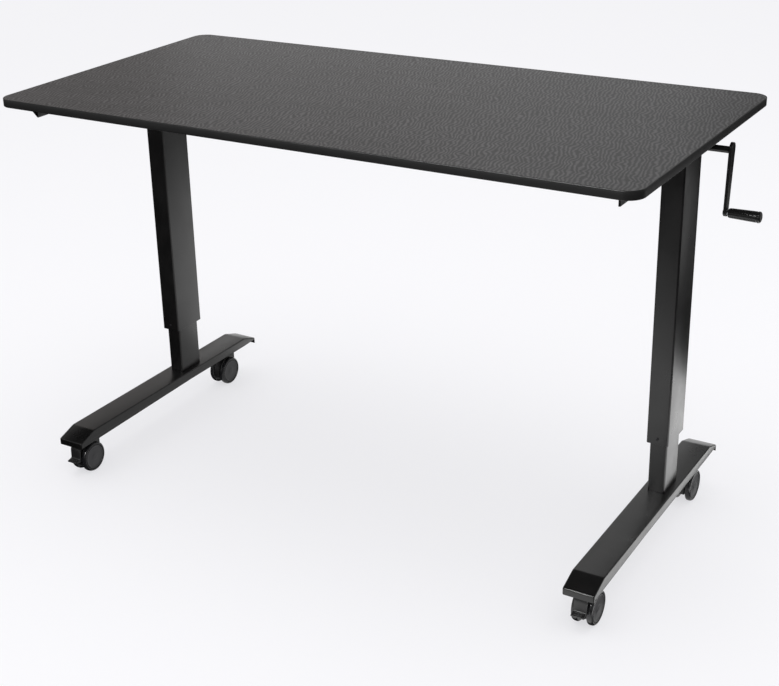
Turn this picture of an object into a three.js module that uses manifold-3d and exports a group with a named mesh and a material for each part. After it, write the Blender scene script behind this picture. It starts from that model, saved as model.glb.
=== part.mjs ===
// Crank-driven height adjustable desk on casters.
//
// Millimetres, +Z up, +X to the right of a person seated at -Y, +Y to the back.
// The origin is on the floor, under the middle of the whole desk with its crank.
import * as THREE from 'three';
import { ConvexGeometry } from 'three/addons/geometries/ConvexGeometry.js';
import { mergeVertices } from 'three/addons/utils/BufferGeometryUtils.js';
import Module from 'manifold-3d';

const wasm = await Module();
wasm.setup();

// ---- driving dimensions ----

const SIDES = [['left', -1], ['right', 1]];

// clearances between pieces
const SEAT_GAP = 0.3;        // between faces that rest on each other
const SLIDE_GAP = 0.3;       // glide bush to inner tube, each side
const TURN_GAP = 0.4;        // round things that turn in a bore
const OVERCUT = 1;           // a cutting piece past the face it opens

// desk top
const TOP_WIDTH = 1499;
const TOP_DEPTH = 749;
const TOP_THICKNESS = 18;
const TOP_CORNER_RADIUS = 35;
const TOP_EDGE_ROUND = 1.5;

// feet, formed from sheet as channels that open downwards
const FOOT_LENGTH = 722;
const FOOT_WIDTH = 68.5;
const FOOT_WALL = 2.5;
const FOOT_SLOPE_LENGTH = 49;
const FOOT_SLOPE_DROP = 16.5;
const FOOT_LIP_HEIGHT = 15;
const FOOT_LIP_RETURN = 4;    // depth of the lip's short sides
const FOOT_FLANGE_HEIGHT = 22;
const FOOT_FLANGE_RUNOUT = 4; // tip's top to the bottom of the flange where it meets the lip

// casters
const WHEEL_RADIUS = 37;
const WHEEL_WIDTH = 13;
const WHEEL_EDGE_ROUND = 1.6;
const WHEEL_RIM = 7;         // tread to the dish in the outer face
const WHEEL_DISH = [1.5, 0.5]; // depth of the dish at its edge and at its middle
const HOOD_WIDTH = 16;
const HOOD_BELOW_RIM = 1;
const WHEEL_TO_HOOD = 2.5;
const CASTER_TRAIL = 24;
const CASTER_INSET = 79;     // foot tip to caster stem
const CASTER_HEADROOM = 9.5; // wheel top to foot lip
const STEM_RADIUS = 5.5;
const STEM_PLATE_MARGIN = 5.75; // side of the foot to the plate, each side
const STEM_PLATE_THICKNESS = 4;
const STEM_ABOVE_AXLE = 24.7;
const STEM_END_GAP = 1;
const NECK_RADIUS = 13;
const NECK_TO_PLATE = 2.5;
const AXLE_RADIUS = 3;
const AXLE_DEPTH_IN_WHEEL = 9;
const AXLE_END_GAP = 0.5;

// hood web: the arc's two ends in half turns, then corners as shares of its radius
const HOOD_ARC = [1.06, 0.3];
const HOOD_BACK = [0.72, 0.1];
const HOOD_BELLY = [[0.45, -0.35], [-0.6, -0.42]];

// brake pedal, seen from the side with its axle at the origin
const PEDAL_WIDTH = 28;
const PEDAL_WALL = 2.7;
const PEDAL_CLEAR = 1.5;     // wheel rim to the inside of the pedal
const PEDAL_TOP_LENGTH = 8;  // how far short of the axle its top ends
const PEDAL_CORNER = 6;      // bevel between its top and its face
const PEDAL_FACE_LEAN = 2;
const PEDAL_TOE = 15.8;      // face to toe tip
const PEDAL_TOE_LEVELS = [9, 6, 3, 1]; // root and tip on top, tip and root below
const PEDAL_ARM_LEVELS = [8, 29];
const PEDAL_HUB_RADIUS = 6.5;
const PEDAL_ARM_HALF = 6;

// telescoping columns
const COLUMN_INSET = 88.5;   // end of the top to column axis
const COLUMN_BACK = 94;      // middle of the top to column axis
const OUTER_X = 49;
const OUTER_Y = 96;
const OUTER_LENGTH = 678;
const INNER_LENGTH = 532;
const TUBE_WALL = 2;
const TUBE_CORNER = 4;
const EXTENSION = 121;       // inner tube that shows as the desk is set now
const BUSH_WALL_X = 2.4;
const BUSH_WALL_Y = 7.4;
const BUSH_HEIGHT = 40;
const BUSH_RECESS = 1.5;
const BUSH_SCREW_HEIGHT = 13;
const BUSH_SCREW_RADIUS = 2.4;
const BUSH_SCREW_HEAD_RADIUS = 4.4;
const BUSH_SCREW_HEAD = 2.2;
const BUSH_SCREW_CROWN = 0.7; // flat of the head as a share of its radius
const BUSH_SCREW_SHORT = 1;  // tip to the inner face of the bush
const BASE_PLATE_THICKNESS = 8;

// steel under the top
const BRACKET_THICKNESS = 3.4;
const BRACKET_DROP = 42;
const BRACKET_EAR = 22;
const RAIL_SPACING = 3.3;    // outer tube to side rail
const RAIL_THICKNESS = 4;
const RAIL_HEIGHT = 33;
const RAIL_FLANGE = 38;
const RAIL_LENGTH = 626;
const CROSS_RAIL_DEPTH = 20;
const CROSS_RAIL_HEIGHT = 38;
const CROSS_RAIL_WALL = 2;
const CROSS_RAIL_OFFSET = 33;

// lift drive
const SLEEVE_CLEARANCE = 1;  // round the crank's sleeve where it passes the steel
const SHAFT_DROP = 28;       // underside of the top to crank axis
const HEX_RADIUS = 4.62;     // corner radius of an 8 mm hexagon bar
const GEAR_TEETH = 12;
const GEAR_RADIUS = 12;
const GEAR_FACE = 0.4;       // tooth length as a share of the cone
const GEAR_ADDENDUM = 1.5;
const GEAR_DEDENDUM = 2.0;
const GEAR_TOOTH_WIDTH = 2.7;
const GEAR_TOOTH_ROOT = 0.3; // how far a tooth is rooted in the blank
const GEAR_FLANK = Math.tan(THREE.MathUtils.degToRad(20));
const GEAR_HUB_RADIUS = 9;
const GEAR_SHOULDER = 1;
const SCREW_GEAR_LENGTH = 22;
const GEARBOX_FIT = 0.4;     // gearbox to outer tube, each side
const GEARBOX_Y = 60;
const GEARBOX_WALL = 3;
const GEARBOX_FLOOR = 6;
const GEARBOX_UP = 18;
const BEARING_HEIGHT = 5.4;
const BEARING_RADIUS = 11;
const SCREW_RADIUS = 8.5;
const SCREW_LENGTH = 545;
const JOURNAL_RADIUS = 5;
const JOURNAL_TOP = 10;      // crank axis down to the journal's end
const NUT_HEIGHT = 30;

// crank
const SLEEVE_RADIUS = 7;
const SLEEVE_FROM_RAIL = 2;
const SLEEVE_PAST_TOP = 7.5; // end of the top to end of the sleeve
const SOCKET_DEPTH = 28;
const HEX_IN_SOCKET = 24;
const CRANK_ANGLE = THREE.MathUtils.degToRad(-5.2);
const ARM_THICKNESS = 6;
const ARM_HEAD_RADIUS = 12;  // end on the shaft
const ARM_TIP_RADIUS = 8;    // end on the grip's pin
const ARM_OVERRUN = 16;
const CRANK_THROW = 125.5;
const GRIP_START = 3.5;
const GRIP_LENGTH = 65.7;
const GRIP_INNER_RADIUS = 10;
const GRIP_OUTER_RADIUS = 11.8;
const GRIP_END_WALL = 6.5;
const GRIP_CHAMFER = [1, 1.5]; // inward and along, at the arm's end
const GRIP_NOSE = [2.5, 3];  // inward and along, at the free end
const GRIP_CROWN = 0.6;      // bulge of the free end
const GRIP_GROOVE = [8.5, 7.5, 6.5]; // free end to the groove's start, bottom and end
const GRIP_GROOVE_DEPTH = [0.4, 1.2];
const PIN_RADIUS = 4;
const PIN_HEAD_RADIUS = 6;
const PIN_HEAD = 1.4;
const PIN_END_GAP = 1;

// how finely curves are cut
const TUBE_ARC_STEPS = 2;
const TOP_ARC_STEPS = 5;
const ARM_ARC_STEPS = 8;
const HOOD_ARC_STEPS = 10;
const WHEEL_STEPS = 24;
const ROUND_STEPS = 16;
const SCREW_STEPS = 12;
const WELD = 1e-4;           // corners closer than this are one corner

// ---- derived levels and places ----

const LIP_BOTTOM = 2 * WHEEL_RADIUS + CASTER_HEADROOM;
const FOOT_TIP_TOP = LIP_BOTTOM + FOOT_LIP_HEIGHT;
const FOOT_TOP = FOOT_TIP_TOP + FOOT_SLOPE_DROP;
const FLANGE_BOTTOM = FOOT_TOP - FOOT_FLANGE_HEIGHT;
const OUTER_BOTTOM = FOOT_TOP + EXTENSION;
const OUTER_TOP = OUTER_BOTTOM + OUTER_LENGTH;
const UNDERSIDE = OUTER_TOP + BRACKET_THICKNESS + 2 * SEAT_GAP;
const SHAFT_Z = UNDERSIDE - SHAFT_DROP;
const COLUMN_X = TOP_WIDTH / 2 - COLUMN_INSET;
const INNER_X = OUTER_X - 2 * (TUBE_WALL + SEAT_GAP + BUSH_WALL_X + SLIDE_GAP);
const INNER_Y = OUTER_Y - 2 * (TUBE_WALL + SEAT_GAP + BUSH_WALL_Y + SLIDE_GAP);
const INNER_BOTTOM = FOOT_TOP + SEAT_GAP;
const INNER_TOP = INNER_BOTTOM + INNER_LENGTH;
const RAIL_INNER_X = COLUMN_X + OUTER_X / 2 + RAIL_SPACING;
const SLEEVE_START = RAIL_INNER_X + RAIL_THICKNESS + SLEEVE_FROM_RAIL;
const SLEEVE_END = TOP_WIDTH / 2 + SLEEVE_PAST_TOP;
const ARM_FACE = SLEEVE_END + SEAT_GAP + ARM_THICKNESS;
const GRIP_END = ARM_FACE + GRIP_START + GRIP_LENGTH;
const GEARBOX_X = OUTER_X - 2 * (TUBE_WALL + GEARBOX_FIT);
const DRIVE_GEAR_LENGTH = GEARBOX_X / 2 - GEARBOX_WALL - TURN_GAP;
const GEARBOX_BOTTOM = SHAFT_Z - SCREW_GEAR_LENGTH - 2 * SEAT_GAP - BEARING_HEIGHT - GEARBOX_FLOOR;
const STEM_PLATE_TOP = FOOT_TOP - FOOT_WALL - SEAT_GAP;
const STEM_PLATE_BOTTOM = STEM_PLATE_TOP - STEM_PLATE_THICKNESS;
const STEM_END = WHEEL_RADIUS + STEM_ABOVE_AXLE;
const NECK_TOP = STEM_PLATE_BOTTOM - NECK_TO_PLATE;
const WHEEL_INNER_X = HOOD_WIDTH / 2 + WHEEL_TO_HOOD;

// ---- materials ----

const LAMINATE = { color: 0x2c2b2c, roughness: 0.55, metalness: 0.0 };
const POWDER_COAT = { color: 0x19191a, roughness: 0.4, metalness: 0.3 };
const ZINC_STEEL = { color: 0x9a9c9f, roughness: 0.35, metalness: 0.9 };
const CAST_ALLOY = { color: 0x808284, roughness: 0.55, metalness: 0.9 };
const BRONZE = { color: 0xa9803f, roughness: 0.4, metalness: 0.9 };
const NYLON = { color: 0x151515, roughness: 0.6, metalness: 0.0 };
const HARD_RUBBER = { color: 0x1d1d1e, roughness: 0.5, metalness: 0.0 };
const GRIP_PLASTIC = { color: 0x161616, roughness: 0.35, metalness: 0.0 };

// ---- helpers ----

/** A copy of a geometry with three corners of its own for every triangle. */
function loose(geometry) {
  const copy = geometry.index ? geometry.toNonIndexed() : geometry.clone();
  copy.deleteAttribute('normal');
  copy.deleteAttribute('uv');
  return copy;
}

/** The closed solid of a geometry, for joining and cutting. */
function solid(geometry) {
  const merged = mergeVertices(loose(geometry), WELD);
  return new wasm.Manifold(new wasm.Mesh({
    numProp: 3,
    vertProperties: new Float32Array(merged.attributes.position.array),
    triVerts: new Uint32Array(merged.index.array),
  }));
}

/** The geometry of a solid. */
function surface(body) {
  const mesh = body.getMesh();
  const geometry = new THREE.BufferGeometry();
  geometry.setAttribute('position', new THREE.BufferAttribute(mesh.vertProperties, 3));
  geometry.setIndex(new THREE.BufferAttribute(mesh.triVerts, 1));
  return geometry;
}

const cut = (geometry, ...tools) =>
  surface(tools.reduce((body, tool) => body.subtract(solid(tool)), solid(geometry)));

const join = (geometry, ...more) =>
  surface(more.reduce((body, extra) => body.add(solid(extra)), solid(geometry)));

/** A box from its lowest to its highest corner. */
function box(low, high) {
  const size = high.map((value, axis) => value - low[axis]);
  const middle = high.map((value, axis) => (value + low[axis]) / 2);
  return new THREE.BoxGeometry(...size).translate(...middle);
}

const AXES = {
  x: [new THREE.Vector3(0, 1, 0), new THREE.Vector3(0, 0, 1), new THREE.Vector3(1, 0, 0)],
  y: [new THREE.Vector3(0, 0, 1), new THREE.Vector3(1, 0, 0), new THREE.Vector3(0, 1, 0)],
  z: [new THREE.Vector3(1, 0, 0), new THREE.Vector3(0, 1, 0), new THREE.Vector3(0, 0, 1)],
};

/** Turns a geometry made along Z so that it runs along another axis. */
function along(axis, geometry) {
  return geometry.applyMatrix4(new THREE.Matrix4().makeBasis(...AXES[axis]));
}

/** An outline in the plane across an axis, drawn out from one place to another along it. */
function drawn(axis, outline, from, to, curveSegments = TUBE_ARC_STEPS) {
  const made = new THREE.ExtrudeGeometry(outline, {
    depth: to - from, bevelEnabled: false, curveSegments,
  });
  return along(axis, made.translate(0, 0, from));
}

/** A round bar through (u, v) in the plane across an axis. */
function bar(axis, radius, from, to, u = 0, v = 0, steps = ROUND_STEPS) {
  const made = new THREE.CylinderGeometry(radius, radius, to - from, steps);
  made.rotateX(Math.PI / 2).translate(u, v, (from + to) / 2);
  return along(axis, made);
}

/** A turned piece from [radius, distance along its axis] pairs. */
function turned(axis, pairs, steps = ROUND_STEPS) {
  const points = pairs.map(([radius, distance]) => new THREE.Vector2(radius, distance));
  return along(axis, new THREE.LatheGeometry(points, steps).rotateX(Math.PI / 2));
}

/** The same piece for the left side when sign is -1. */
function mirrored(geometry, sign) {
  if (sign > 0) return geometry;
  const flipped = loose(geometry);
  const place = flipped.attributes.position;
  for (let first = 0; first < place.count; first += 3) {
    const corners = [0, 2, 1].map((step) => [
      -place.getX(first + step), place.getY(first + step), place.getZ(first + step)]);
    corners.forEach((corner, step) => place.setXYZ(first + step, ...corner));
  }
  return flipped;
}

const polygon = (points) => new THREE.Shape(points.map(([u, v]) => new THREE.Vector2(u, v)));

/** A rectangle with rounded corners about the origin. */
function roundedRectangle(width, height, radius, PathClass = THREE.Shape) {
  const [w, h] = [width / 2 - radius, height / 2 - radius];
  const path = new PathClass();
  path.moveTo(w + radius, -h);
  path.absarc(w, h, radius, 0, Math.PI / 2);
  path.absarc(-w, h, radius, Math.PI / 2, Math.PI);
  path.absarc(-w, -h, radius, Math.PI, 1.5 * Math.PI);
  path.absarc(w, -h, radius, 1.5 * Math.PI, 2 * Math.PI);
  path.closePath();
  return path;
}

/** A rectangular tube standing up from one level to another. */
function tube(width, depth, wall, corner, from, to) {
  const outline = roundedRectangle(width, depth, corner);
  outline.holes.push(
    roundedRectangle(width - 2 * wall, depth - 2 * wall, corner - wall / 2, THREE.Path));
  return drawn('z', outline, from, to);
}

const desk = new THREE.Group();
desk.position.x = -(GRIP_END - TOP_WIDTH / 2) / 2;

function group(parent, x = 0, y = 0, z = 0) {
  const made = new THREE.Group();
  made.position.set(x, y, z);
  parent.add(made);
  return made;
}

function part(parent, name, geometry, finish) {
  const mesh = new THREE.Mesh(geometry, new THREE.MeshStandardMaterial(finish));
  mesh.name = name;
  parent.add(mesh);
  return mesh;
}

// ---- desk top ----

/** A board with rounded corners and eased edges. */
function deskTop() {
  const inset = 2 * TOP_EDGE_ROUND;
  const outline = roundedRectangle(
    TOP_WIDTH - inset, TOP_DEPTH - inset, TOP_CORNER_RADIUS - TOP_EDGE_ROUND);
  const made = new THREE.ExtrudeGeometry(outline, {
    depth: TOP_THICKNESS - inset,
    bevelThickness: TOP_EDGE_ROUND,
    bevelSize: TOP_EDGE_ROUND,
    bevelSegments: 1,
    curveSegments: TOP_ARC_STEPS,
  });
  return made.translate(0, 0, UNDERSIDE + TOP_EDGE_ROUND);
}

// ---- steel under the top ----

/** Angle rail: one flange stands against the column bracket, the other is screwed to the top. */
function sideRail(sign) {
  const top = UNDERSIDE - SEAT_GAP;
  const [near, far] = [RAIL_INNER_X, RAIL_INNER_X + RAIL_THICKNESS];
  const angle = polygon([
    [top - RAIL_HEIGHT, near], [top, near], [top, near + RAIL_FLANGE],
    [top - RAIL_THICKNESS, near + RAIL_FLANGE], [top - RAIL_THICKNESS, far],
    [top - RAIL_HEIGHT, far],
  ]);
  const rail = drawn('y', angle, -RAIL_LENGTH / 2, RAIL_LENGTH / 2);
  const slot = SLEEVE_RADIUS + SLEEVE_CLEARANCE;
  const notch = box(
    [near - OVERCUT, COLUMN_BACK - slot, top - RAIL_HEIGHT - OVERCUT],
    [far + OVERCUT, COLUMN_BACK + slot, SHAFT_Z + slot]);
  return mirrored(cut(rail, notch), sign);
}

/** Plate on the column head with a flange that meets the side rail, in the column's own frame. */
function columnBracket(sign) {
  const reach = OUTER_X / 2 + RAIL_SPACING - SEAT_GAP;
  const plate = box(
    [-OUTER_X / 2, -OUTER_Y / 2 - BRACKET_EAR, OUTER_TOP + SEAT_GAP],
    [reach, OUTER_Y / 2 + BRACKET_EAR, OUTER_TOP + SEAT_GAP + BRACKET_THICKNESS]);
  const flange = box(
    [OUTER_X / 2 + SEAT_GAP, -OUTER_Y / 2, UNDERSIDE - BRACKET_DROP],
    [reach, OUTER_Y / 2, OUTER_TOP + SEAT_GAP + BRACKET_THICKNESS / 2]);
  const hole = bar(
    'x', SLEEVE_RADIUS + SLEEVE_CLEARANCE, OUTER_X / 2 - OVERCUT, reach + OVERCUT, 0, SHAFT_Z);
  return mirrored(cut(join(plate, flange), hole), sign);
}

/** Rectangular tube from column to column, in front of or behind the cross shaft. */
function crossRail(place) {
  const outline = polygon([[-1, -1], [1, -1], [1, 1], [-1, 1]].map(
    ([u, v]) => [u * CROSS_RAIL_DEPTH / 2, v * CROSS_RAIL_HEIGHT / 2]));
  const inside = [[-1, -1], [-1, 1], [1, 1], [1, -1]].map(([u, v]) => new THREE.Vector2(
    u * (CROSS_RAIL_DEPTH / 2 - CROSS_RAIL_WALL), v * (CROSS_RAIL_HEIGHT / 2 - CROSS_RAIL_WALL)));
  outline.holes.push(new THREE.Path(inside));
  const half = COLUMN_X - OUTER_X / 2 - SEAT_GAP;
  const middle = UNDERSIDE - SEAT_GAP - CROSS_RAIL_HEIGHT / 2;
  return drawn('x', outline, -half, half).translate(0, COLUMN_BACK + place, middle);
}

// ---- columns, each in a frame on its own axis ----

/** Clearance for the screw that holds the glide bush, through whatever stands in front. */
const bushScrewHole = () => bar(
  'y', BUSH_SCREW_RADIUS + SEAT_GAP, -OUTER_Y / 2 - OVERCUT, 0, OUTER_BOTTOM + BUSH_SCREW_HEIGHT);

/** Outer tube. The shaft passes right through the one at the crank and ends inside the other. */
function outerColumn(sign) {
  const shell = tube(OUTER_X, OUTER_Y, TUBE_WALL, TUBE_CORNER, OUTER_BOTTOM, OUTER_TOP);
  const past = OUTER_X / 2 + OVERCUT;
  const shaftHole = sign > 0
    ? bar('x', SLEEVE_RADIUS, -past, past, 0, SHAFT_Z)
    : bar('x', SLEEVE_RADIUS, 0, past, 0, SHAFT_Z);
  return cut(shell, shaftHole, bushScrewHole());
}

/** Plastic liner in the mouth of the outer tube, which the inner tube slides in. */
function glideBush() {
  const outer = [OUTER_X, OUTER_Y].map((size) => size - 2 * (TUBE_WALL + SEAT_GAP));
  const inner = [INNER_X, INNER_Y].map((size) => size + 2 * SLIDE_GAP);
  const outline = roundedRectangle(...outer, TUBE_CORNER);
  outline.holes.push(roundedRectangle(...inner, TUBE_CORNER, THREE.Path));
  const from = OUTER_BOTTOM + BUSH_RECESS;
  return cut(drawn('z', outline, from, from + BUSH_HEIGHT), bushScrewHole());
}

/** Pan head screw through the front wall of the outer tube into the glide bush. */
function glideScrew() {
  const face = -OUTER_Y / 2 - SEAT_GAP;
  const tip = -INNER_Y / 2 - SLIDE_GAP - BUSH_SCREW_SHORT;
  const crown = BUSH_SCREW_HEAD_RADIUS * BUSH_SCREW_CROWN;
  const screw = turned('y', [
    [0, face - BUSH_SCREW_HEAD], [crown, face - BUSH_SCREW_HEAD],
    [BUSH_SCREW_HEAD_RADIUS, face - BUSH_SCREW_HEAD / 2], [BUSH_SCREW_HEAD_RADIUS, face],
    [BUSH_SCREW_RADIUS, face], [BUSH_SCREW_RADIUS, tip], [0, tip],
  ], SCREW_STEPS);
  return screw.translate(0, 0, OUTER_BOTTOM + BUSH_SCREW_HEIGHT);
}

/** Inner tube, which stands on the foot. */
const innerColumn = () =>
  tube(INNER_X, INNER_Y, TUBE_WALL, TUBE_CORNER, INNER_BOTTOM, INNER_TOP);

/** Block that fills the inner tube and clears its rounded corners. */
function tubeFiller(from, to) {
  const [width, depth] = [INNER_X, INNER_Y].map((size) => size - 2 * (TUBE_WALL + SEAT_GAP));
  return drawn('z', roundedRectangle(width, depth, TUBE_CORNER), from, to);
}

/** Steel block in the inner tube's lower end, for the bolts through the foot. */
const columnBase = () => tubeFiller(INNER_BOTTOM, INNER_BOTTOM + BASE_PLATE_THICKNESS);

/** Nut in the head of the inner tube. */
function leadNut() {
  const [from, to] = [INNER_TOP - NUT_HEIGHT, INNER_TOP];
  const bore = bar('z', SCREW_RADIUS + TURN_GAP, from - OVERCUT, to + OVERCUT);
  return cut(tubeFiller(from, to), bore);
}

// ---- lift drive ----

/** Cast housing, open at the top, that carries both gears of one column. */
function gearbox() {
  const [x, y] = [GEARBOX_X / 2, GEARBOX_Y / 2];
  const top = SHAFT_Z + GEARBOX_UP;
  const block = box([-x, -y, GEARBOX_BOTTOM], [x, y, top]);
  const inside = box(
    [-x + GEARBOX_WALL, -y + GEARBOX_WALL, GEARBOX_BOTTOM + GEARBOX_FLOOR],
    [x - GEARBOX_WALL, y - GEARBOX_WALL, top + OVERCUT]);
  const shaftBore = bar('x', HEX_RADIUS + TURN_GAP, -x - OVERCUT, x + OVERCUT, 0, SHAFT_Z);
  const screwBore = bar(
    'z', JOURNAL_RADIUS + TURN_GAP, GEARBOX_BOTTOM - OVERCUT,
    GEARBOX_BOTTOM + GEARBOX_FLOOR + OVERCUT);
  return cut(block, inside, shaftBore, screwBore);
}

/** Ring under the screw's gear that carries the load of the top. */
function thrustBearing() {
  const from = GEARBOX_BOTTOM + GEARBOX_FLOOR + SEAT_GAP;
  const [inner, outer] = [JOURNAL_RADIUS + TURN_GAP, BEARING_RADIUS];
  return turned('z', [
    [inner, from], [outer, from], [outer, from + BEARING_HEIGHT],
    [inner, from + BEARING_HEIGHT], [inner, from],
  ]);
}

/** Corner points of a straight bevel tooth at one share of the cone, all on lines to its apex. */
function toothSection(share, angle) {
  const level = (height, halfWidth) => [-1, 1].map((hand) => {
    const out = share * (GEAR_RADIUS + height * Math.SQRT1_2);
    const down = share * (-GEAR_RADIUS + height * Math.SQRT1_2);
    const point = new THREE.Vector3(out, hand * halfWidth * share, down);
    return point.applyAxisAngle(new THREE.Vector3(0, 0, 1), angle);
  });
  const half = GEAR_TOOTH_WIDTH / 2;
  const root = -GEAR_DEDENDUM - GEAR_TOOTH_ROOT;
  return [
    ...level(GEAR_ADDENDUM, half - GEAR_ADDENDUM * GEAR_FLANK),
    ...level(root, half - root * GEAR_FLANK),
  ];
}

/** Mitre gear with its apex at the origin and its hub towards -Z. */
function mitreGear(boreRadius, length, phase) {
  const rootAt = (share) => [
    share * (GEAR_RADIUS - GEAR_DEDENDUM * Math.SQRT1_2),
    -share * (GEAR_RADIUS + GEAR_DEDENDUM * Math.SQRT1_2)];
  const [wide, narrow] = [rootAt(1), rootAt(1 - GEAR_FACE)];
  const blank = turned('z', [
    [boreRadius, narrow[1]], [boreRadius, -length], [GEAR_HUB_RADIUS, -length],
    [GEAR_HUB_RADIUS, wide[1] - GEAR_SHOULDER], wide, narrow, [boreRadius, narrow[1]],
  ]);
  const teeth = Array.from({ length: GEAR_TEETH }, (_, count) => {
    const angle = (count + phase) * 2 * Math.PI / GEAR_TEETH;
    return new ConvexGeometry([...toothSection(1, angle), ...toothSection(1 - GEAR_FACE, angle)]);
  });
  return join(blank, ...teeth);
}

/** Gear on the cross shaft: its apex is on the column's axis and its hub points to -X. */
const driveGear = () => mitreGear(HEX_RADIUS + TURN_GAP, DRIVE_GEAR_LENGTH, 0.5)
  .rotateY(Math.PI / 2).translate(0, 0, SHAFT_Z);

/** Gear on the screw's journal: the same apex, with its hub down. */
const screwGear = () => mitreGear(JOURNAL_RADIUS + TURN_GAP, SCREW_GEAR_LENGTH, 0)
  .translate(0, 0, SHAFT_Z);

/** Lead screw hanging in the gearbox by its journal. The thread is drawn as its pitch cylinder. */
function leadScrew() {
  const shoulder = GEARBOX_BOTTOM - SEAT_GAP;
  return turned('z', [
    [0, shoulder - SCREW_LENGTH], [SCREW_RADIUS, shoulder - SCREW_LENGTH],
    [SCREW_RADIUS, shoulder], [JOURNAL_RADIUS, shoulder],
    [JOURNAL_RADIUS, SHAFT_Z - JOURNAL_TOP], [0, SHAFT_Z - JOURNAL_TOP],
  ]);
}

/** Hexagon bar that turns both gearboxes, ending in the socket of the crank. */
const crossShaft = () => bar(
  'x', HEX_RADIUS, -COLUMN_X - GEARBOX_X / 2 + SEAT_GAP,
  SLEEVE_START + HEX_IN_SOCKET, COLUMN_BACK, SHAFT_Z, 6);

// ---- crank, in a frame on the shaft's axis, with X still measured from the desk's middle ----

/** Sleeve with a socket for the hexagon bar, closed at the arm's end. */
function crankShaft() {
  const bore = HEX_RADIUS + TURN_GAP;
  const socketEnd = SLEEVE_START + SOCKET_DEPTH;
  return turned('x', [
    [0, socketEnd], [bore, socketEnd], [bore, SLEEVE_START], [SLEEVE_RADIUS, SLEEVE_START],
    [SLEEVE_RADIUS, SLEEVE_END], [0, SLEEVE_END],
  ]);
}

/** Tapered flat bar with round ends. Its wide end runs past the shaft, its narrow end has the pin. */
function crankArm() {
  const head = ARM_OVERRUN - ARM_HEAD_RADIUS;
  const taper = Math.asin((ARM_HEAD_RADIUS - ARM_TIP_RADIUS) / (head + CRANK_THROW));
  const outline = new THREE.Shape();
  outline.absarc(0, head, ARM_HEAD_RADIUS, taper, Math.PI - taper);
  outline.absarc(0, -CRANK_THROW, ARM_TIP_RADIUS, Math.PI - taper, 2 * Math.PI + taper);
  outline.closePath();
  const back = ARM_FACE - ARM_THICKNESS;
  const plate = drawn('x', outline, back, ARM_FACE, ARM_ARC_STEPS);
  const hole = bar(
    'x', PIN_RADIUS + SEAT_GAP, back - OVERCUT, ARM_FACE + OVERCUT, 0, -CRANK_THROW);
  return cut(plate, hole);
}

/** Headed pin through the arm that the grip spins on. */
function gripPin() {
  const back = ARM_FACE - ARM_THICKNESS - SEAT_GAP;
  const end = GRIP_END - GRIP_END_WALL - PIN_END_GAP;
  return turned('x', [
    [0, back - PIN_HEAD], [PIN_HEAD_RADIUS, back - PIN_HEAD], [PIN_HEAD_RADIUS, back],
    [PIN_RADIUS, back], [PIN_RADIUS, end], [0, end],
  ]).translate(0, 0, -CRANK_THROW);
}

/** Tapered handle that spins on its pin, with a groove before its rounded end. */
function crankGrip() {
  const start = GRIP_END - GRIP_LENGTH;
  const bore = PIN_RADIUS + TURN_GAP;
  const floor = GRIP_END - GRIP_END_WALL;
  const [small, large] = [GRIP_INNER_RADIUS, GRIP_OUTER_RADIUS];
  const groove = GRIP_GROOVE.map((distance) => GRIP_END - distance);
  const [shallow, deep] = GRIP_GROOVE_DEPTH.map((depth) => large - depth);
  return turned('x', [
    [0, floor], [bore, floor], [bore, start], [small - GRIP_CHAMFER[0], start],
    [small, start + GRIP_CHAMFER[1]], [shallow, groove[0]], [deep, groove[1]],
    [large, groove[2]], [large, GRIP_END - GRIP_NOSE[1]],
    [large - GRIP_NOSE[0], GRIP_END - GRIP_CROWN], [0, GRIP_END],
  ]).translate(0, 0, -CRANK_THROW);
}

// ---- feet, each in a frame under its column's X ----

/** Channel with sloping ends, each closed by an upright lip; its flanges run out into the slopes. */
function foot() {
  const half = FOOT_LENGTH / 2;
  const end = (y, z) => [[-y, z], [y, z]];
  const corners = [
    end(half, LIP_BOTTOM), end(half, FOOT_TIP_TOP), end(half - FOOT_SLOPE_LENGTH, FOOT_TOP)];
  const returns = [
    end(half - FOOT_LIP_RETURN, LIP_BOTTOM),
    end(half - FOOT_LIP_RETURN, FOOT_TIP_TOP - FOOT_FLANGE_RUNOUT),
    end(half - FOOT_SLOPE_LENGTH, FLANGE_BOTTOM)];
  const front = corners.map(([left]) => left);
  const back = corners.map(([, right]) => right).reverse();
  const under = [
    ...returns.map(([, right]) => right), ...returns.map(([left]) => left).reverse()];
  const outside = drawn(
    'x', polygon([...front, ...back, ...under].reverse()), -FOOT_WIDTH / 2, FOOT_WIDTH / 2);
  const inner = half - FOOT_WALL;
  const slope = half - FOOT_SLOPE_LENGTH;
  const low = LIP_BOTTOM - OVERCUT;
  const hollow = polygon([
    [-inner, low], [inner, low], [inner, FOOT_TIP_TOP - FOOT_WALL], [slope, FOOT_TOP - FOOT_WALL],
    [-slope, FOOT_TOP - FOOT_WALL], [-inner, FOOT_TIP_TOP - FOOT_WALL],
  ]);
  const insideWidth = FOOT_WIDTH / 2 - FOOT_WALL;
  return cut(outside, drawn('x', hollow, -insideWidth, insideWidth));
}

// ---- casters, each in a frame on its stem with Z from the floor; the wheels trail to -Y ----

/** Plate under the foot's top with the steel stem that the caster swivels on. */
function casterStem() {
  const half = FOOT_WIDTH / 2 - FOOT_WALL - STEM_PLATE_MARGIN;
  const plate = box([-half, -half, STEM_PLATE_BOTTOM], [half, half, STEM_PLATE_TOP]);
  return join(plate, bar('z', STEM_RADIUS, STEM_END, STEM_PLATE_BOTTOM + OVERCUT));
}

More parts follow.
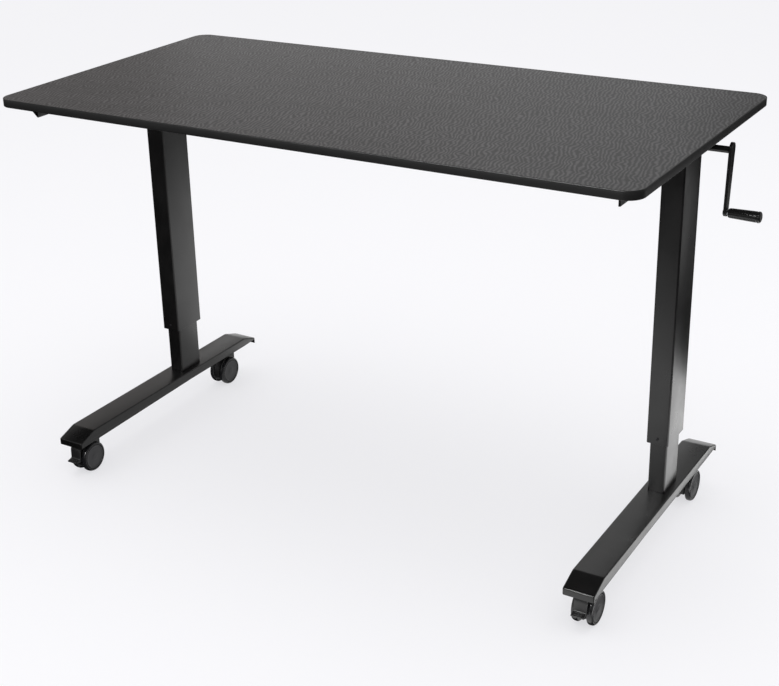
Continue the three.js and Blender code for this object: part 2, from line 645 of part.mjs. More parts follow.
/** Web between the wheels with a round neck over the stem. */
function casterHood() {
  const radius = WHEEL_RADIUS - HOOD_BELOW_RIM;
  const back = CASTER_TRAIL + NECK_RADIUS;
  const web = new THREE.Shape();
  web.absarc(0, 0, radius, ...HOOD_ARC.map((halfTurns) => halfTurns * Math.PI), true);
  HOOD_BACK.forEach((share) => web.lineTo(back, share * radius));
  HOOD_BELLY.forEach(([y, z]) => web.lineTo(y * radius, z * radius));
  web.closePath();
  const half = HOOD_WIDTH / 2;
  const body = drawn('x', web, -half, half, HOOD_ARC_STEPS)
    .translate(0, -CASTER_TRAIL, WHEEL_RADIUS);
  const neckFrom = 2 * WHEEL_RADIUS + OVERCUT;
  const neck = bar('z', NECK_RADIUS, neckFrom, NECK_TOP);
  const post = box([-half, -NECK_RADIUS, WHEEL_RADIUS], [half, NECK_RADIUS, neckFrom + OVERCUT]);
  const stemBore = bar('z', STEM_RADIUS + TURN_GAP, STEM_END - STEM_END_GAP, NECK_TOP + OVERCUT);
  const axleBore = bar(
    'x', AXLE_RADIUS + TURN_GAP, -half - OVERCUT, half + OVERCUT, -CASTER_TRAIL, WHEEL_RADIUS);
  return cut(join(body, neck, post), stemBore, axleBore);
}

/** Pin through the hood that carries both wheels. */
function casterAxle() {
  const reach = WHEEL_INNER_X + AXLE_DEPTH_IN_WHEEL;
  return bar('x', AXLE_RADIUS, -reach, reach, -CASTER_TRAIL, WHEEL_RADIUS);
}

/** One wheel of a pair, with a blind bore for the axle and a shallow dish in its outer face. */
function casterWheel(sign) {
  const [inner, outer] = [WHEEL_INNER_X, WHEEL_INNER_X + WHEEL_WIDTH];
  const bore = AXLE_RADIUS + TURN_GAP;
  const boreEnd = inner + AXLE_DEPTH_IN_WHEEL + AXLE_END_GAP;
  const shoulder = WHEEL_RADIUS - WHEEL_EDGE_ROUND;
  const dish = WHEEL_RADIUS - WHEEL_RIM;
  const wheel = turned('x', [
    [0, boreEnd], [bore, boreEnd], [bore, inner], [shoulder, inner],
    [WHEEL_RADIUS, inner + WHEEL_EDGE_ROUND], [WHEEL_RADIUS, outer - 2 * WHEEL_EDGE_ROUND],
    [shoulder, outer - WHEEL_EDGE_ROUND / 2], [dish + 1, outer],
    [dish, outer - WHEEL_DISH[0]], [0, outer - WHEEL_DISH[1]],
  ], WHEEL_STEPS);
  return mirrored(wheel.translate(0, -CASTER_TRAIL, WHEEL_RADIUS), sign);
}

/** Toe lever in front of the wheels. Its two arms turn on the wheels' axle, beside the hood. */
function brakePedal() {
  const clear = WHEEL_RADIUS + PEDAL_CLEAR;
  const face = clear + PEDAL_WALL;
  const tip = face + PEDAL_TOE;
  const [rootTop, tipTop, tipBottom, rootBottom] = PEDAL_TOE_LEVELS;
  const cover = polygon([
    [-clear + PEDAL_CORNER, clear], [-clear, clear - PEDAL_CORNER], [-clear, tipBottom],
    [-face, rootBottom], [-tip, tipBottom], [-tip, tipTop], [-face - PEDAL_FACE_LEAN, rootTop],
    [-face - PEDAL_FACE_LEAN / 2, face - PEDAL_CORNER - OVERCUT], [-face + PEDAL_CORNER, face],
    [-PEDAL_TOP_LENGTH, face], [-PEDAL_TOP_LENGTH, clear],
  ]);
  const half = PEDAL_WIDTH / 2;
  const pieces = [drawn('x', cover, -half, half)];
  const [armLow, armHigh] = PEDAL_ARM_LEVELS;
  const sideArm = polygon([
    [0, -PEDAL_ARM_HALF], [0, PEDAL_ARM_HALF], [-clear - OVERCUT, armHigh],
    [-clear - OVERCUT, armLow]]);
  const near = HOOD_WIDTH / 2 + SEAT_GAP;
  const far = WHEEL_INNER_X - TURN_GAP;
  for (const [from, to] of [[-far, -near], [near, far]]) {
    pieces.push(drawn('x', sideArm, from, to), bar('x', PEDAL_HUB_RADIUS, from, to));
  }
  const bore = bar('x', AXLE_RADIUS + TURN_GAP, -far - OVERCUT, far + OVERCUT);
  return cut(join(...pieces), bore).translate(0, -CASTER_TRAIL, WHEEL_RADIUS);
}

// ---- assembly ----

part(desk, 'tabletop', deskTop(), LAMINATE);
part(desk, 'cross_rail_front', crossRail(-CROSS_RAIL_OFFSET), POWDER_COAT);
part(desk, 'cross_rail_rear', crossRail(CROSS_RAIL_OFFSET), POWDER_COAT);
part(desk, 'cross_shaft', crossShaft(), ZINC_STEEL);

const crank = group(desk, 0, COLUMN_BACK, SHAFT_Z);
crank.rotation.x = CRANK_ANGLE;
part(crank, 'crank_shaft', crankShaft(), POWDER_COAT);
part(crank, 'crank_arm', crankArm(), POWDER_COAT);
part(crank, 'grip_pin', gripPin(), ZINC_STEEL);
part(crank, 'crank_grip', crankGrip(), GRIP_PLASTIC);

for (const [side, sign] of SIDES) {
  part(desk, `side_rail_${side}`, sideRail(sign), POWDER_COAT);

  const column = group(desk, sign * COLUMN_X, COLUMN_BACK);
  part(column, `column_bracket_${side}`, columnBracket(sign), POWDER_COAT);
  part(column, `outer_column_${side}`, outerColumn(sign), POWDER_COAT);
  part(column, `glide_bush_${side}`, glideBush(), NYLON);
  part(column, `glide_screw_${side}`, glideScrew(), ZINC_STEEL);
  part(column, `gearbox_${side}`, gearbox(), CAST_ALLOY);
  part(column, `thrust_bearing_${side}`, thrustBearing(), ZINC_STEEL);
  part(column, `drive_gear_${side}`, driveGear(), BRONZE);
  part(column, `screw_gear_${side}`, screwGear(), BRONZE);
  part(column, `lead_screw_${side}`, leadScrew(), ZINC_STEEL);
  part(column, `lead_nut_${side}`, leadNut(), NYLON);
  part(column, `inner_column_${side}`, innerColumn(), POWDER_COAT);
  part(column, `column_base_${side}`, columnBase(), ZINC_STEEL);

  const base = group(desk, sign * COLUMN_X);
  part(base, `foot_${side}`, foot(), POWDER_COAT);

  for (const [end, back] of [['front', -1], ['rear', 1]]) {
    const caster = group(base, 0, back * (FOOT_LENGTH / 2 - CASTER_INSET));
    const place = `${end}_${side}`;
    part(caster, `caster_stem_${place}`, casterStem(), ZINC_STEEL);
    part(caster, `caster_hood_${place}`, casterHood(), NYLON);
    part(caster, `caster_axle_${place}`, casterAxle(), ZINC_STEEL);
    for (const [face, hand] of SIDES) {
      part(caster, `wheel_${face}_${place}`, casterWheel(hand), HARD_RUBBER);
    }
    if (back < 0) part(caster, `brake_pedal_${place}`, brakePedal(), NYLON);
  }
}

export default desk;
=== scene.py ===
# %% [markdown]
# # A crank-driven height adjustable desk
# This lesson builds the looks of a desk around its measured frame. The frame holds every body,
# joint and size. Each cell makes one piece or one finish, says what it is on the real desk, and
# prints what it measured.

import math

import bmesh
import bpy
from mathutils import Matrix, Vector


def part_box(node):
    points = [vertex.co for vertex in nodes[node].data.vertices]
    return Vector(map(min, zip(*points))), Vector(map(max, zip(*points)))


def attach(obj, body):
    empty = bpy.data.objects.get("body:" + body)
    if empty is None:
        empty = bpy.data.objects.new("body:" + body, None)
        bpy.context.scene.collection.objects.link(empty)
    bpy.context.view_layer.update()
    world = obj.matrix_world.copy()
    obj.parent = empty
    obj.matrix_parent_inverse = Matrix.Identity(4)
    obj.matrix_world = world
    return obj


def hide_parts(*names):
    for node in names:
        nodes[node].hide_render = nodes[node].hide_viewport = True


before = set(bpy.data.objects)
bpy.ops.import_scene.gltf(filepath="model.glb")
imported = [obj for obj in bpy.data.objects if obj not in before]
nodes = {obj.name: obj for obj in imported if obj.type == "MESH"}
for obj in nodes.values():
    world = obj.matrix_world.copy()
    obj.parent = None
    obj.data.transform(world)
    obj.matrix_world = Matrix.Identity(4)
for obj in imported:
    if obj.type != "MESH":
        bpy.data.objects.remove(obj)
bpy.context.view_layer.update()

# %% [markdown]
# ## Units and places
# The frame is in metres. Sheet and tube sizes are easier to read in millimetres, so every bare
# length below is written times MM. Places come from the frame's own boxes: the two columns stand
# either side of the middle of the top, and anything that comes in pairs is built once for a
# column, with +X pointing outwards, and then mirrored.

# %% Measure the desk
MM = 0.001
top_low, top_high = (Vector(corner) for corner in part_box("tabletop"))
middle_x = (top_low.x + top_high.x) / 2
SIDES = (("left", -1), ("right", 1))
ENDS = ("front", "rear")


def centre(node):
    """Middle of a CAD node at rest."""
    low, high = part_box(node)
    return (Vector(low) + Vector(high)) / 2


def size(node):
    """Length of a CAD node along each axis."""
    low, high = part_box(node)
    return Vector(high) - Vector(low)


column_y = centre("inner_column_left").y
column_out = centre("inner_column_right").x - middle_x
print("column axis", round(column_out / MM, 1), "mm from the middle,",
      round(column_y / MM, 1), "mm back")

# %% [markdown]
# ## Small tools for solids
# Most of the desk is made of three kinds of shape: blocks, outlines that are pushed along a line
# (sheet and bar), and profiles that are turned round an axis (wheels, pins, the grip). A corner of
# an outline is rounded by bevelling its vertex before the outline is pushed or turned. That way
# one number, the radius, says how the edge was made.

# %% Blocks, outlines and turned profiles
def block(low, high):
    """One box between two corners."""
    bm = bmesh.new()
    bmesh.ops.create_cube(bm, size=1)
    low, high = Vector(low), Vector(high)
    bmesh.ops.scale(bm, vec=high - low, verts=bm.verts)
    bmesh.ops.translate(bm, vec=(low + high) / 2, verts=bm.verts)
    return bm


def outline(points, closed=True, steps=4):
    """A wire of (across, up, radius) corners in the YZ plane, each rounded by its own radius."""
    bm = bmesh.new()
    verts = [bm.verts.new((0, across, up)) for across, up, _ in points]
    pairs = list(zip(verts, verts[1:]))
    if closed:
        pairs.append((verts[-1], verts[0]))
    for pair in pairs:
        bm.edges.new(pair)
    for vert, (_, _, radius) in list(zip(verts, points)):
        if radius:
            bmesh.ops.bevel(bm, geom=[vert], offset=radius, segments=steps, profile=0.5,
                            affect="VERTICES", material=-1)
    return bm


def pushed(points, start, end, steps=4):
    """An outline in YZ pushed along X from start to end."""
    bm = outline(points, steps=steps)
    bmesh.ops.contextual_create(bm, geom=bm.edges[:])
    bmesh.ops.translate(bm, vec=(start, 0, 0), verts=bm.verts)
    far = bmesh.ops.extrude_face_region(bm, geom=bm.faces[:])["geom"]
    moved = [part for part in far if isinstance(part, bmesh.types.BMVert)]
    bmesh.ops.translate(bm, vec=(end - start, 0, 0), verts=moved)
    bmesh.ops.recalc_face_normals(bm, faces=bm.faces)
    return bm


def turned(points, closed=False, turns=48, steps=4):
    """A profile of (radius, distance along X, rounding) turned right round the X axis."""
    bm = outline(points, closed=closed, steps=steps)
    for vert in bm.verts:
        vert.co = (vert.co.z, vert.co.y, 0)
    bmesh.ops.spin(bm, geom=bm.verts[:] + bm.edges[:], cent=(0, 0, 0), axis=(1, 0, 0),
                   angle=2 * math.pi, steps=turns, use_merge=True)
    bmesh.ops.remove_doubles(bm, verts=bm.verts, dist=0.001 * MM)
    bmesh.ops.recalc_face_normals(bm, faces=bm.faces)
    return bm


# %% [markdown]
# ## Easing, placing and joining
# Real edges are never perfectly sharp: a thin bright line runs along each one. `ease` gives a
# narrow bevel to every edge that is sharper than an angle. `placed` turns and moves a finished
# bmesh, so a piece's object can stay at the origin. Holes and welded joints use the exact boolean,
# because a drilled hole is what the real piece has.

# %% Ease, place, join and cut
SHARP = math.radians(50)


def ease(bm, width, steps=2, sharper=SHARP):
    """Rounds every edge whose faces meet at more than an angle."""
    edges = [edge for edge in bm.edges if edge.is_manifold and edge.calc_face_angle(0) > sharper]
    bmesh.ops.bevel(bm, geom=edges, offset=width, segments=steps, profile=0.5, affect="EDGES",
                    clamp_overlap=True, material=-1)
    return bm


def placed(bm, move=(0, 0, 0), turn=None, mirror=False):
    """Turns, mirrors in X and moves a whole bmesh, in that order."""
    if turn is not None:
        bmesh.ops.transform(bm, matrix=turn, verts=bm.verts)
    if mirror:
        bmesh.ops.scale(bm, vec=(-1, 1, 1), verts=bm.verts)
        bmesh.ops.reverse_faces(bm, faces=bm.faces)
    bmesh.ops.translate(bm, vec=move, verts=bm.verts)
    return bm


def as_object(bm, name):
    """A plain object that takes over a bmesh."""
    mesh = bpy.data.meshes.new(name)
    bm.to_mesh(mesh)
    bm.free()
    made = bpy.data.objects.new(name, mesh)
    bpy.context.scene.collection.objects.link(made)
    return made


def combined(bm, other, operation):
    """The exact UNION or DIFFERENCE of two closed shapes."""
    body, tool = as_object(bm, "shape"), as_object(other, "tool")
    change = body.modifiers.new("change", "BOOLEAN")
    change.operation, change.object, change.solver = operation, tool, "EXACT"
    evaluated = body.evaluated_get(bpy.context.evaluated_depsgraph_get())
    result = bmesh.new()
    result.from_mesh(evaluated.to_mesh())
    evaluated.to_mesh_clear()
    for spent in (body, tool):
        mesh = spent.data
        bpy.data.objects.remove(spent)
        bpy.data.meshes.remove(mesh)
    return result


def gathered(parts):
    """Several separate closed shapes in one bmesh, such as a row of screws."""
    whole = bmesh.new()
    for part in parts:
        mesh = bpy.data.meshes.new("part")
        part.to_mesh(mesh)
        part.free()
        whole.from_mesh(mesh)
        bpy.data.meshes.remove(mesh)
    return whole


# %% [markdown]
# ## Finishing a piece
# A finished piece needs a mesh, soft shading between its small facets, a material and a body to
# ride on. `made` does all of that in one call, and prints the piece's size so a slip in a number
# shows at once.

# %% Finish a piece
SMOOTH_BELOW = math.radians(35)


def made(bm, name, body, slot, materials, stands_for=()):
    """Turns a bmesh into a piece that rides on a body."""
    piece = as_object(bm, name)
    mesh = piece.data
    mesh.shade_smooth()
    mesh.set_sharp_from_angle(angle=SMOOTH_BELOW)
    for material in materials:
        mesh.materials.append(material)
    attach(piece, body)
    if stands_for:
        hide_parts(*stands_for)
    spread = [round(length / MM, 1) for length in piece.dimensions]
    print(name, "mm", spread, "faces", len(mesh.polygons))
    return piece


# %% [markdown]
# ## Colours and nodes
# Colours are written as the hex values that a screen shows and turned to linear light by one
# function. A second small function adds a shader node with its settings and its links.

# %% Colour and node helpers
def linear(code):
    """Linear red, green, blue and alpha of an sRGB hex colour."""
    shown = [int(code[place:place + 2], 16) / 255 for place in (0, 2, 4)]
    return [v / 12.92 if v <= 0.04045 else ((v + 0.055) / 1.055) ** 2.4 for v in shown] + [1.0]


def add(tree, kind, inputs=None, **settings):
    """Adds a node, sets its properties, and links or sets its inputs."""
    node = tree.nodes.new("ShaderNode" + kind)
    for name, value in settings.items():
        setattr(node, name, value)
    for name, value in (inputs or {}).items():
        if isinstance(value, bpy.types.NodeSocket):
            tree.links.new(value, node.inputs[name])
        else:
            node.inputs[name].default_value = value
    return node


def new_material(name):
    """An empty material with its output and a place in object coordinates."""
    material = bpy.data.materials.new(name)
    material.use_nodes = True
    tree = material.node_tree
    tree.nodes.clear()
    place = add(tree, "TexCoord").outputs["Object"]
    return material, tree, place


def show(tree, shader):
    """Sends a shader to the material's output."""
    add(tree, "OutputMaterial", {"Surface": shader.outputs["BSDF"]})


MIX_A, MIX_B, MIX_OUT = 6, 7, 2      # a colour Mix node has several inputs called A and B


def per_metre(millimetres):
    """Noise scale whose features are about so many millimetres across."""
    return 1 / (millimetres * MM)


# %% [markdown]
# ## Melamine laminate, black with a rippled grain
# The top is chipboard faced with printed melamine paper pressed under a textured steel plate. The
# plate leaves fine ripples that run from front to back, lean a little and wander from side to side,
# and the print adds faint streaks along the board. Waves bent by a slow noise make the ripples, a
# finer noise breaks them into short strokes, and a stretched noise makes the streaks. Ripples are
# shallow and catch the light at a low angle, so the pattern is in the roughness and in a bump,
# which is drawn deeper than the real relief so that it shows, and in the colour as painted sheen:
# the strokes are painted lighter where the ripples would catch the light.

# %% Laminate
RIPPLE_MM = 8.5
WANDER_MM = 32
STREAK_MM = 22
LEAN_SHARE = 0.25                    # how far a ripple drifts sideways for each length it runs
WANDER_REACH_MM = 26                 # furthest the slow noise pushes a ripple sideways
PATCH_MM = 13                        # a ripple fades and comes back over about this length
STREAK_STRETCH = 0.12                # streaks are longer along the board by one over this
WAVE_UNITS = math.pi / 10            # a Wave texture of scale 1 repeats after this length


def laminate_material():
    material, tree, place = new_material("black_melamine")
    wander = add(tree, "TexNoise", {
        "Vector": place, "Scale": per_metre(WANDER_MM), "Detail": 1.0, "Roughness": 0.45})
    shift = add(tree, "VectorMath", {
        0: wander.outputs["Color"], 1: (WANDER_REACH_MM * MM, 0.0, 0.0)}, operation="MULTIPLY")
    lean = add(tree, "Mapping", {"Vector": place, "Rotation": (0.0, 0.0, -math.atan(LEAN_SHARE))})
    bent = add(tree, "VectorMath", {
        0: lean.outputs["Vector"], 1: shift.outputs["Vector"]}, operation="ADD")
    ripple = add(tree, "TexWave", {
        "Vector": bent.outputs["Vector"], "Scale": WAVE_UNITS / (RIPPLE_MM * MM),
        "Distortion": 1.2, "Detail": 2.0, "Detail Scale": 2.0},
        wave_type="BANDS", bands_direction="X")
    broken = add(tree, "TexNoise", {
        "Vector": place, "Scale": per_metre(PATCH_MM), "Detail": 2.0})
    strokes = add(tree, "Math", {
        0: ripple.outputs["Fac"], 1: broken.outputs["Fac"]}, operation="MULTIPLY")
    long_ways = add(tree, "Mapping", {"Vector": place, "Scale": (STREAK_STRETCH, 1.0, 1.0)})
    streaks = add(tree, "TexNoise", {
        "Vector": long_ways.outputs["Vector"], "Scale": per_metre(STREAK_MM), "Detail": 5.0,
        "Roughness": 0.6})
    # Painted sheen: the ramp keeps the board's own near-black at its dark end and paints the
    # strokes lighter where ripples would catch the light.
    ripple_sheen_tone = add(tree, "ValToRGB", {"Fac": strokes.outputs["Value"]})
    ripple_sheen_tone.color_ramp.elements[0].position = 0.16
    ripple_sheen_tone.color_ramp.elements[0].color = linear("141314")
    ripple_sheen_tone.color_ramp.elements[1].position = 0.46
    ripple_sheen_tone.color_ramp.elements[1].color = linear("363436")
    streak_tone = add(tree, "ValToRGB", {"Fac": streaks.outputs["Fac"]})
    streak_tone.color_ramp.elements[0].position = 0.35
    streak_tone.color_ramp.elements[0].color = linear("b0afb2")
    streak_tone.color_ramp.elements[1].position = 0.65
    streak_tone.color_ramp.elements[1].color = linear("ffffff")
    colour = add(tree, "Mix", {0: 1.0, MIX_A: ripple_sheen_tone.outputs["Color"],
                               MIX_B: streak_tone.outputs["Color"]},
                 data_type="RGBA", blend_type="MULTIPLY")
    gloss = add(tree, "MapRange", {
        "Value": strokes.outputs["Value"], "From Min": 0.1, "From Max": 0.55,
        "To Min": 0.45, "To Max": 0.34})
    relief = add(tree, "Bump", {
        "Height": strokes.outputs["Value"], "Strength": 0.9, "Distance": 0.2 * MM})
    show(tree, add(tree, "BsdfPrincipled", {
        "Base Color": colour.outputs[MIX_OUT], "Roughness": gloss.outputs["Result"],
        "Normal": relief.outputs["Normal"], "IOR": 1.56}))
    return material


laminate = laminate_material()
print("ripple every", RIPPLE_MM, "mm, wandering over", WANDER_MM, "mm")

# %% [markdown]
# ## ABS edge band
# The raw edge of the board is covered by a 2 mm strip of black ABS, extruded smooth, glued on and
# trimmed. Trimming leaves faint lines along the strip, so a noise stretched a hundredfold along
# the edge varies its gloss.

# %% Edge band
def edge_band_material():
    material, tree, place = new_material("abs_edge_band")
    along = add(tree, "Mapping", {"Vector": place, "Scale": (0.02, 0.02, 1.0)})
    trim = add(tree, "TexNoise", {
        "Vector": along.outputs["Vector"], "Scale": per_metre(1.2), "Detail": 3.0})
    gloss = add(tree, "MapRange", {
        "Value": trim.outputs["Fac"], "To Min": 0.36, "To Max": 0.48})
    lines = add(tree, "Bump", {
        "Height": trim.outputs["Fac"], "Strength": 0.15, "Distance": 0.05 * MM})
    show(tree, add(tree, "BsdfPrincipled", {
        "Base Color": linear("121212"), "Roughness": gloss.outputs["Result"],
        "Normal": lines.outputs["Normal"], "IOR": 1.5}))
    return material


edge_band = edge_band_material()

# %% [markdown]
# ## Powder coat, semi-gloss black
# Polyester powder is sprayed on the steel dry and baked until it flows. It never flows quite flat:
# the skin keeps a fine orange peel, about half a millimetre from bump to bump. That is too fine to
# show at this distance, so it is drawn at 1.4 mm. A coarser noise makes the gloss drift a little
# from place to place, as an evenly sprayed but hand-held coat does.

# %% Powder coat
PEEL_MM = 1.4


def powder_coat_material():
    material, tree, place = new_material("black_powder_coat")
    peel = add(tree, "TexNoise", {
        "Vector": place, "Scale": per_metre(PEEL_MM), "Detail": 1.0, "Roughness": 0.4})
    drift = add(tree, "TexNoise", {
        "Vector": place, "Scale": per_metre(60), "Detail": 3.0, "Roughness": 0.55})
    gloss = add(tree, "MapRange", {
        "Value": drift.outputs["Fac"], "From Min": 0.3, "From Max": 0.7,
        "To Min": 0.27, "To Max": 0.35})
    tone = add(tree, "ValToRGB", {"Fac": drift.outputs["Fac"]})
    tone.color_ramp.elements[0].position = 0.3
    tone.color_ramp.elements[0].color = linear("0b0b0b")
    tone.color_ramp.elements[1].position = 0.7
    tone.color_ramp.elements[1].color = linear("100f0f")
    skin = add(tree, "Bump", {
        "Height": peel.outputs["Fac"], "Strength": 0.12, "Distance": 0.06 * MM})
    show(tree, add(tree, "BsdfPrincipled", {
        "Base Color": tone.outputs["Color"], "Roughness": gloss.outputs["Result"],
        "Normal": skin.outputs["Normal"], "IOR": 1.55}))
    return material


powder_coat = powder_coat_material()

# %% [markdown]
# ## Moulded nylon
# Hoods, pedals and bushes are glass-filled nylon from a spark-eroded mould: matt, with a fine
# leathery grain about 0.4 mm across, which is too fine to show and so is drawn at 0.9 mm.

# %% Nylon
NYLON_GRAIN_MM = 0.9


def nylon_material():
    material, tree, place = new_material("moulded_nylon")
    grain = add(tree, "TexVoronoi", {"Vector": place, "Scale": per_metre(NYLON_GRAIN_MM)})
    cloud = add(tree, "TexNoise", {"Vector": place, "Scale": per_metre(25), "Detail": 3.0})
    gloss = add(tree, "MapRange", {
        "Value": cloud.outputs["Fac"], "From Min": 0.3, "From Max": 0.7,
        "To Min": 0.36, "To Max": 0.5})
    skin = add(tree, "Bump", {
        "Height": grain.outputs["Distance"], "Strength": 0.12, "Distance": 0.08 * MM})
    show(tree, add(tree, "BsdfPrincipled", {
        "Base Color": linear("161516"), "Roughness": gloss.outputs["Result"],
        "Normal": skin.outputs["Normal"], "IOR": 1.53}))
    return material


nylon = nylon_material()

# %% [markdown]
# ## Wheel tread, wheel disc and grip
# Three smooth plastics that differ in tone, gloss and wear, so one recipe serves all of them. The
# tread is polished by rolling and scuffed in patches of a few millimetres. The disc is moulded a
# little lighter and keeps an even satin. The grip shines most, because hands polish it.

# %% Wheel tread and wheel disc
def wheel_material(name, colour, smooth, dull, grain_mm):
    material, tree, place = new_material(name)
    worn = add(tree, "TexNoise", {
        "Vector": place, "Scale": per_metre(grain_mm), "Detail": 4.0, "Roughness": 0.6})
    gloss = add(tree, "MapRange", {
        "Value": worn.outputs["Fac"], "From Min": 0.3, "From Max": 0.7,
        "To Min": smooth, "To Max": dull})
    skin = add(tree, "Bump", {
        "Height": worn.outputs["Fac"], "Strength": 0.08, "Distance": 0.1 * MM})
    show(tree, add(tree, "BsdfPrincipled", {
        "Base Color": linear(colour), "Roughness": gloss.outputs["Result"],
        "Normal": skin.outputs["Normal"], "IOR": 1.5}))
    return material


tread = wheel_material("wheel_tread", "1a1a1c", 0.2, 0.32, 6)
disc = wheel_material("wheel_disc", "262628", 0.28, 0.38, 14)
grip_plastic = wheel_material("moulded_grip", "141414", 0.24, 0.32, 9)

# %% [markdown]
# ## Bare metals
# Screws, pins and the hexagon shaft are zinc plated: bright, with a faint bluish spangle. The
# gearboxes are die cast and matt. The gears are sintered bronze. All three are metals, so they
# keep the default IOR and differ only in colour, roughness and the size of their grain.

# %% Metals
def metal_material(name, colours, roughness, grain_mm, stretch=(1, 1, 1)):
    material, tree, place = new_material(name)
    grain_place = add(tree, "Mapping", {"Vector": place, "Scale": stretch})
    grain = add(tree, "TexNoise", {
        "Vector": grain_place.outputs["Vector"], "Scale": per_metre(grain_mm), "Detail": 3.0})
    tone = add(tree, "ValToRGB", {"Fac": grain.outputs["Fac"]})
    tone.color_ramp.elements[0].position = 0.3
    tone.color_ramp.elements[0].color = linear(colours[0])
    tone.color_ramp.elements[1].position = 0.7
    tone.color_ramp.elements[1].color = linear(colours[1])
    gloss = add(tree, "MapRange", {
        "Value": grain.outputs["Fac"], "From Min": 0.3, "From Max": 0.7,
        "To Min": roughness[0], "To Max": roughness[1]})
    skin = add(tree, "Bump", {
        "Height": grain.outputs["Fac"], "Strength": 0.1, "Distance": 0.05 * MM})
    show(tree, add(tree, "BsdfPrincipled", {
        "Base Color": tone.outputs["Color"], "Roughness": gloss.outputs["Result"],
        "Normal": skin.outputs["Normal"], "Metallic": 1.0}))
    return material


zinc = metal_material("zinc_plate", ("9da1a6", "c2c5c9"), (0.26, 0.38), 2.5)
cast = metal_material("die_cast_alloy", ("7c7e80", "949698"), (0.48, 0.6), 1.2)
bronze = metal_material("sintered_bronze", ("8f6f38", "b18c4d"), (0.38, 0.5), 1.0)
black_steel = metal_material("blackened_screw", ("303031", "434344"), (0.4, 0.52), 1.5)

# %% [markdown]
# ## Finishes for the hidden drive
# Shafts, gears, bearings, nuts and gearboxes sit inside the columns or under the top. Their solids
# already have the right shape, so they only get their materials.

# %% Dress the pieces that keep their own shape
KEPT = {
    "cross_shaft": zinc, "grip_pin": zinc, "gearbox": cast, "thrust_bearing": zinc,
    "drive_gear": bronze, "screw_gear": bronze, "lead_screw": zinc, "lead_nut": nylon,
    "column_base": zinc, "glide_bush": nylon, "caster_axle": zinc,
}
dressed = 0
for name, node in nodes.items():
    for start, material in KEPT.items():
        if name.startswith(start):
            node.data.materials.clear()
            node.data.materials.append(material)
            dressed += 1
print("dressed", dressed, "nodes")

# %% [markdown]
# ## The top
# A board 18 mm thick with rounded corners. A cube is stretched to the board's box, its four
# upright edges are bevelled to the corner radius, and then the rims are eased as the band's
# trimming leaves them. A narrow inset keeps the band's own thickness in the band's material, and
# everything inside it is laminate.

# %% Board and edge band
CORNER_RADIUS = 35 * MM
EDGE_EASE = 1.5 * MM
BAND_SHOWING = 0.6 * MM

board = block(top_low, top_high)
upright = [edge for edge in board.edges
           if abs(edge.verts[0].co.z - edge.verts[1].co.z) > 1 * MM]
bmesh.ops.bevel(board, geom=upright, offset=CORNER_RADIUS, segments=14, profile=0.5,
                affect="EDGES", material=-1)
ease(board, EDGE_EASE, steps=4)
flats = [face for face in board.faces if abs(face.normal.z) > 0.999]
for face in board.faces:
    face.material_index = 1
bmesh.ops.inset_individual(board, faces=flats, thickness=BAND_SHOWING, depth=0)
for face in flats:
    face.material_index = 0
made(board, "top_board", "upper", "laminate", (laminate, edge_band), ["tabletop"])

# %% [markdown]
# ## Screws
# The frame is screwed to the board from below with black pan head screws. A head is turned from a
# short profile, and its driving recess is a six-sided pocket cut into the crown.

# %% A pan head screw
HEAD_RADIUS = 4.4 * MM
HEAD_HEIGHT = 2.2 * MM
RECESS_RADIUS = 1.9 * MM
RECESS_DEPTH = 1.2 * MM
SHANK_RADIUS = 2.1 * MM


def pan_screw(shank):
    """A screw along X with its seat at 0, its head towards -X and its shank towards +X."""
    head = turned([
        (0, -HEAD_HEIGHT, 0), (HEAD_RADIUS * 0.8, -HEAD_HEIGHT, 0.8 * MM),
        (HEAD_RADIUS, -HEAD_HEIGHT * 0.35, 0.4 * MM), (HEAD_RADIUS, 0, 0),
        (SHANK_RADIUS, 0, 0), (SHANK_RADIUS, shank, 0.4 * MM), (0, shank, 0)], turns=20, steps=2)
    pocket = bmesh.new()
    bmesh.ops.create_cone(pocket, cap_ends=True, segments=6, radius1=RECESS_RADIUS,
                          radius2=RECESS_RADIUS, depth=2 * RECESS_DEPTH)
    placed(pocket, move=(-HEAD_HEIGHT, 0, 0), turn=Matrix.Rotation(math.pi / 2, 4, "Y"))
    return combined(head, pocket, "DIFFERENCE")


POINT_UP = Matrix.Rotation(-math.pi / 2, 4, "Y")
POINT_BACK = Matrix.Rotation(math.pi / 2, 4, "Z")

# %% [markdown]
# ## Side rails
# An angle of folded steel under each end of the top. One flange is screwed up into the board, the
# other stands against the column's bracket and has a notch for the crank sleeve. Its outline is an
# L whose fold is rounded more on the outside than on the inside by the thickness of the sheet.

# %% Side rails
RAIL_SHEET = 4 * MM
NOTCH_HALF = 8 * MM
SHAFT_Z = centre("cross_shaft").z
rail_low, rail_high = (Vector(corner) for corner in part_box("side_rail_right"))
rail_near = rail_low.x - middle_x
rail_far = rail_high.x - middle_x


def side_rail(side, sign):
    """An L pushed from front to back; the outline lies in the YZ plane and is turned into place."""
    angle = pushed([
        (rail_near, rail_low.z, 0.4 * MM), (rail_near, rail_high.z, 5.2 * MM),
        (rail_far, rail_high.z, 0.4 * MM), (rail_far, rail_high.z - RAIL_SHEET, 0.4 * MM),
        (rail_near + RAIL_SHEET, rail_high.z - RAIL_SHEET, 1.2 * MM),
        (rail_near + RAIL_SHEET, rail_low.z, 0.4 * MM)], -rail_high.y, -rail_low.y)
    placed(angle, turn=Matrix.Rotation(-math.pi / 2, 4, "Z"))
    notch = block((rail_near - 2 * MM, column_y - NOTCH_HALF, rail_low.z - 2 * MM),
                  (rail_near + RAIL_SHEET + 2 * MM, column_y + NOTCH_HALF, SHAFT_Z + NOTCH_HALF))
    angle = combined(angle, notch, "DIFFERENCE")
    ease(angle, 0.4 * MM, steps=1)
    placed(angle, move=(middle_x, 0, 0), mirror=sign < 0)
    made(angle, f"end_rail_{side}", "upper", "powder_coat", (powder_coat,), [f"side_rail_{side}"])


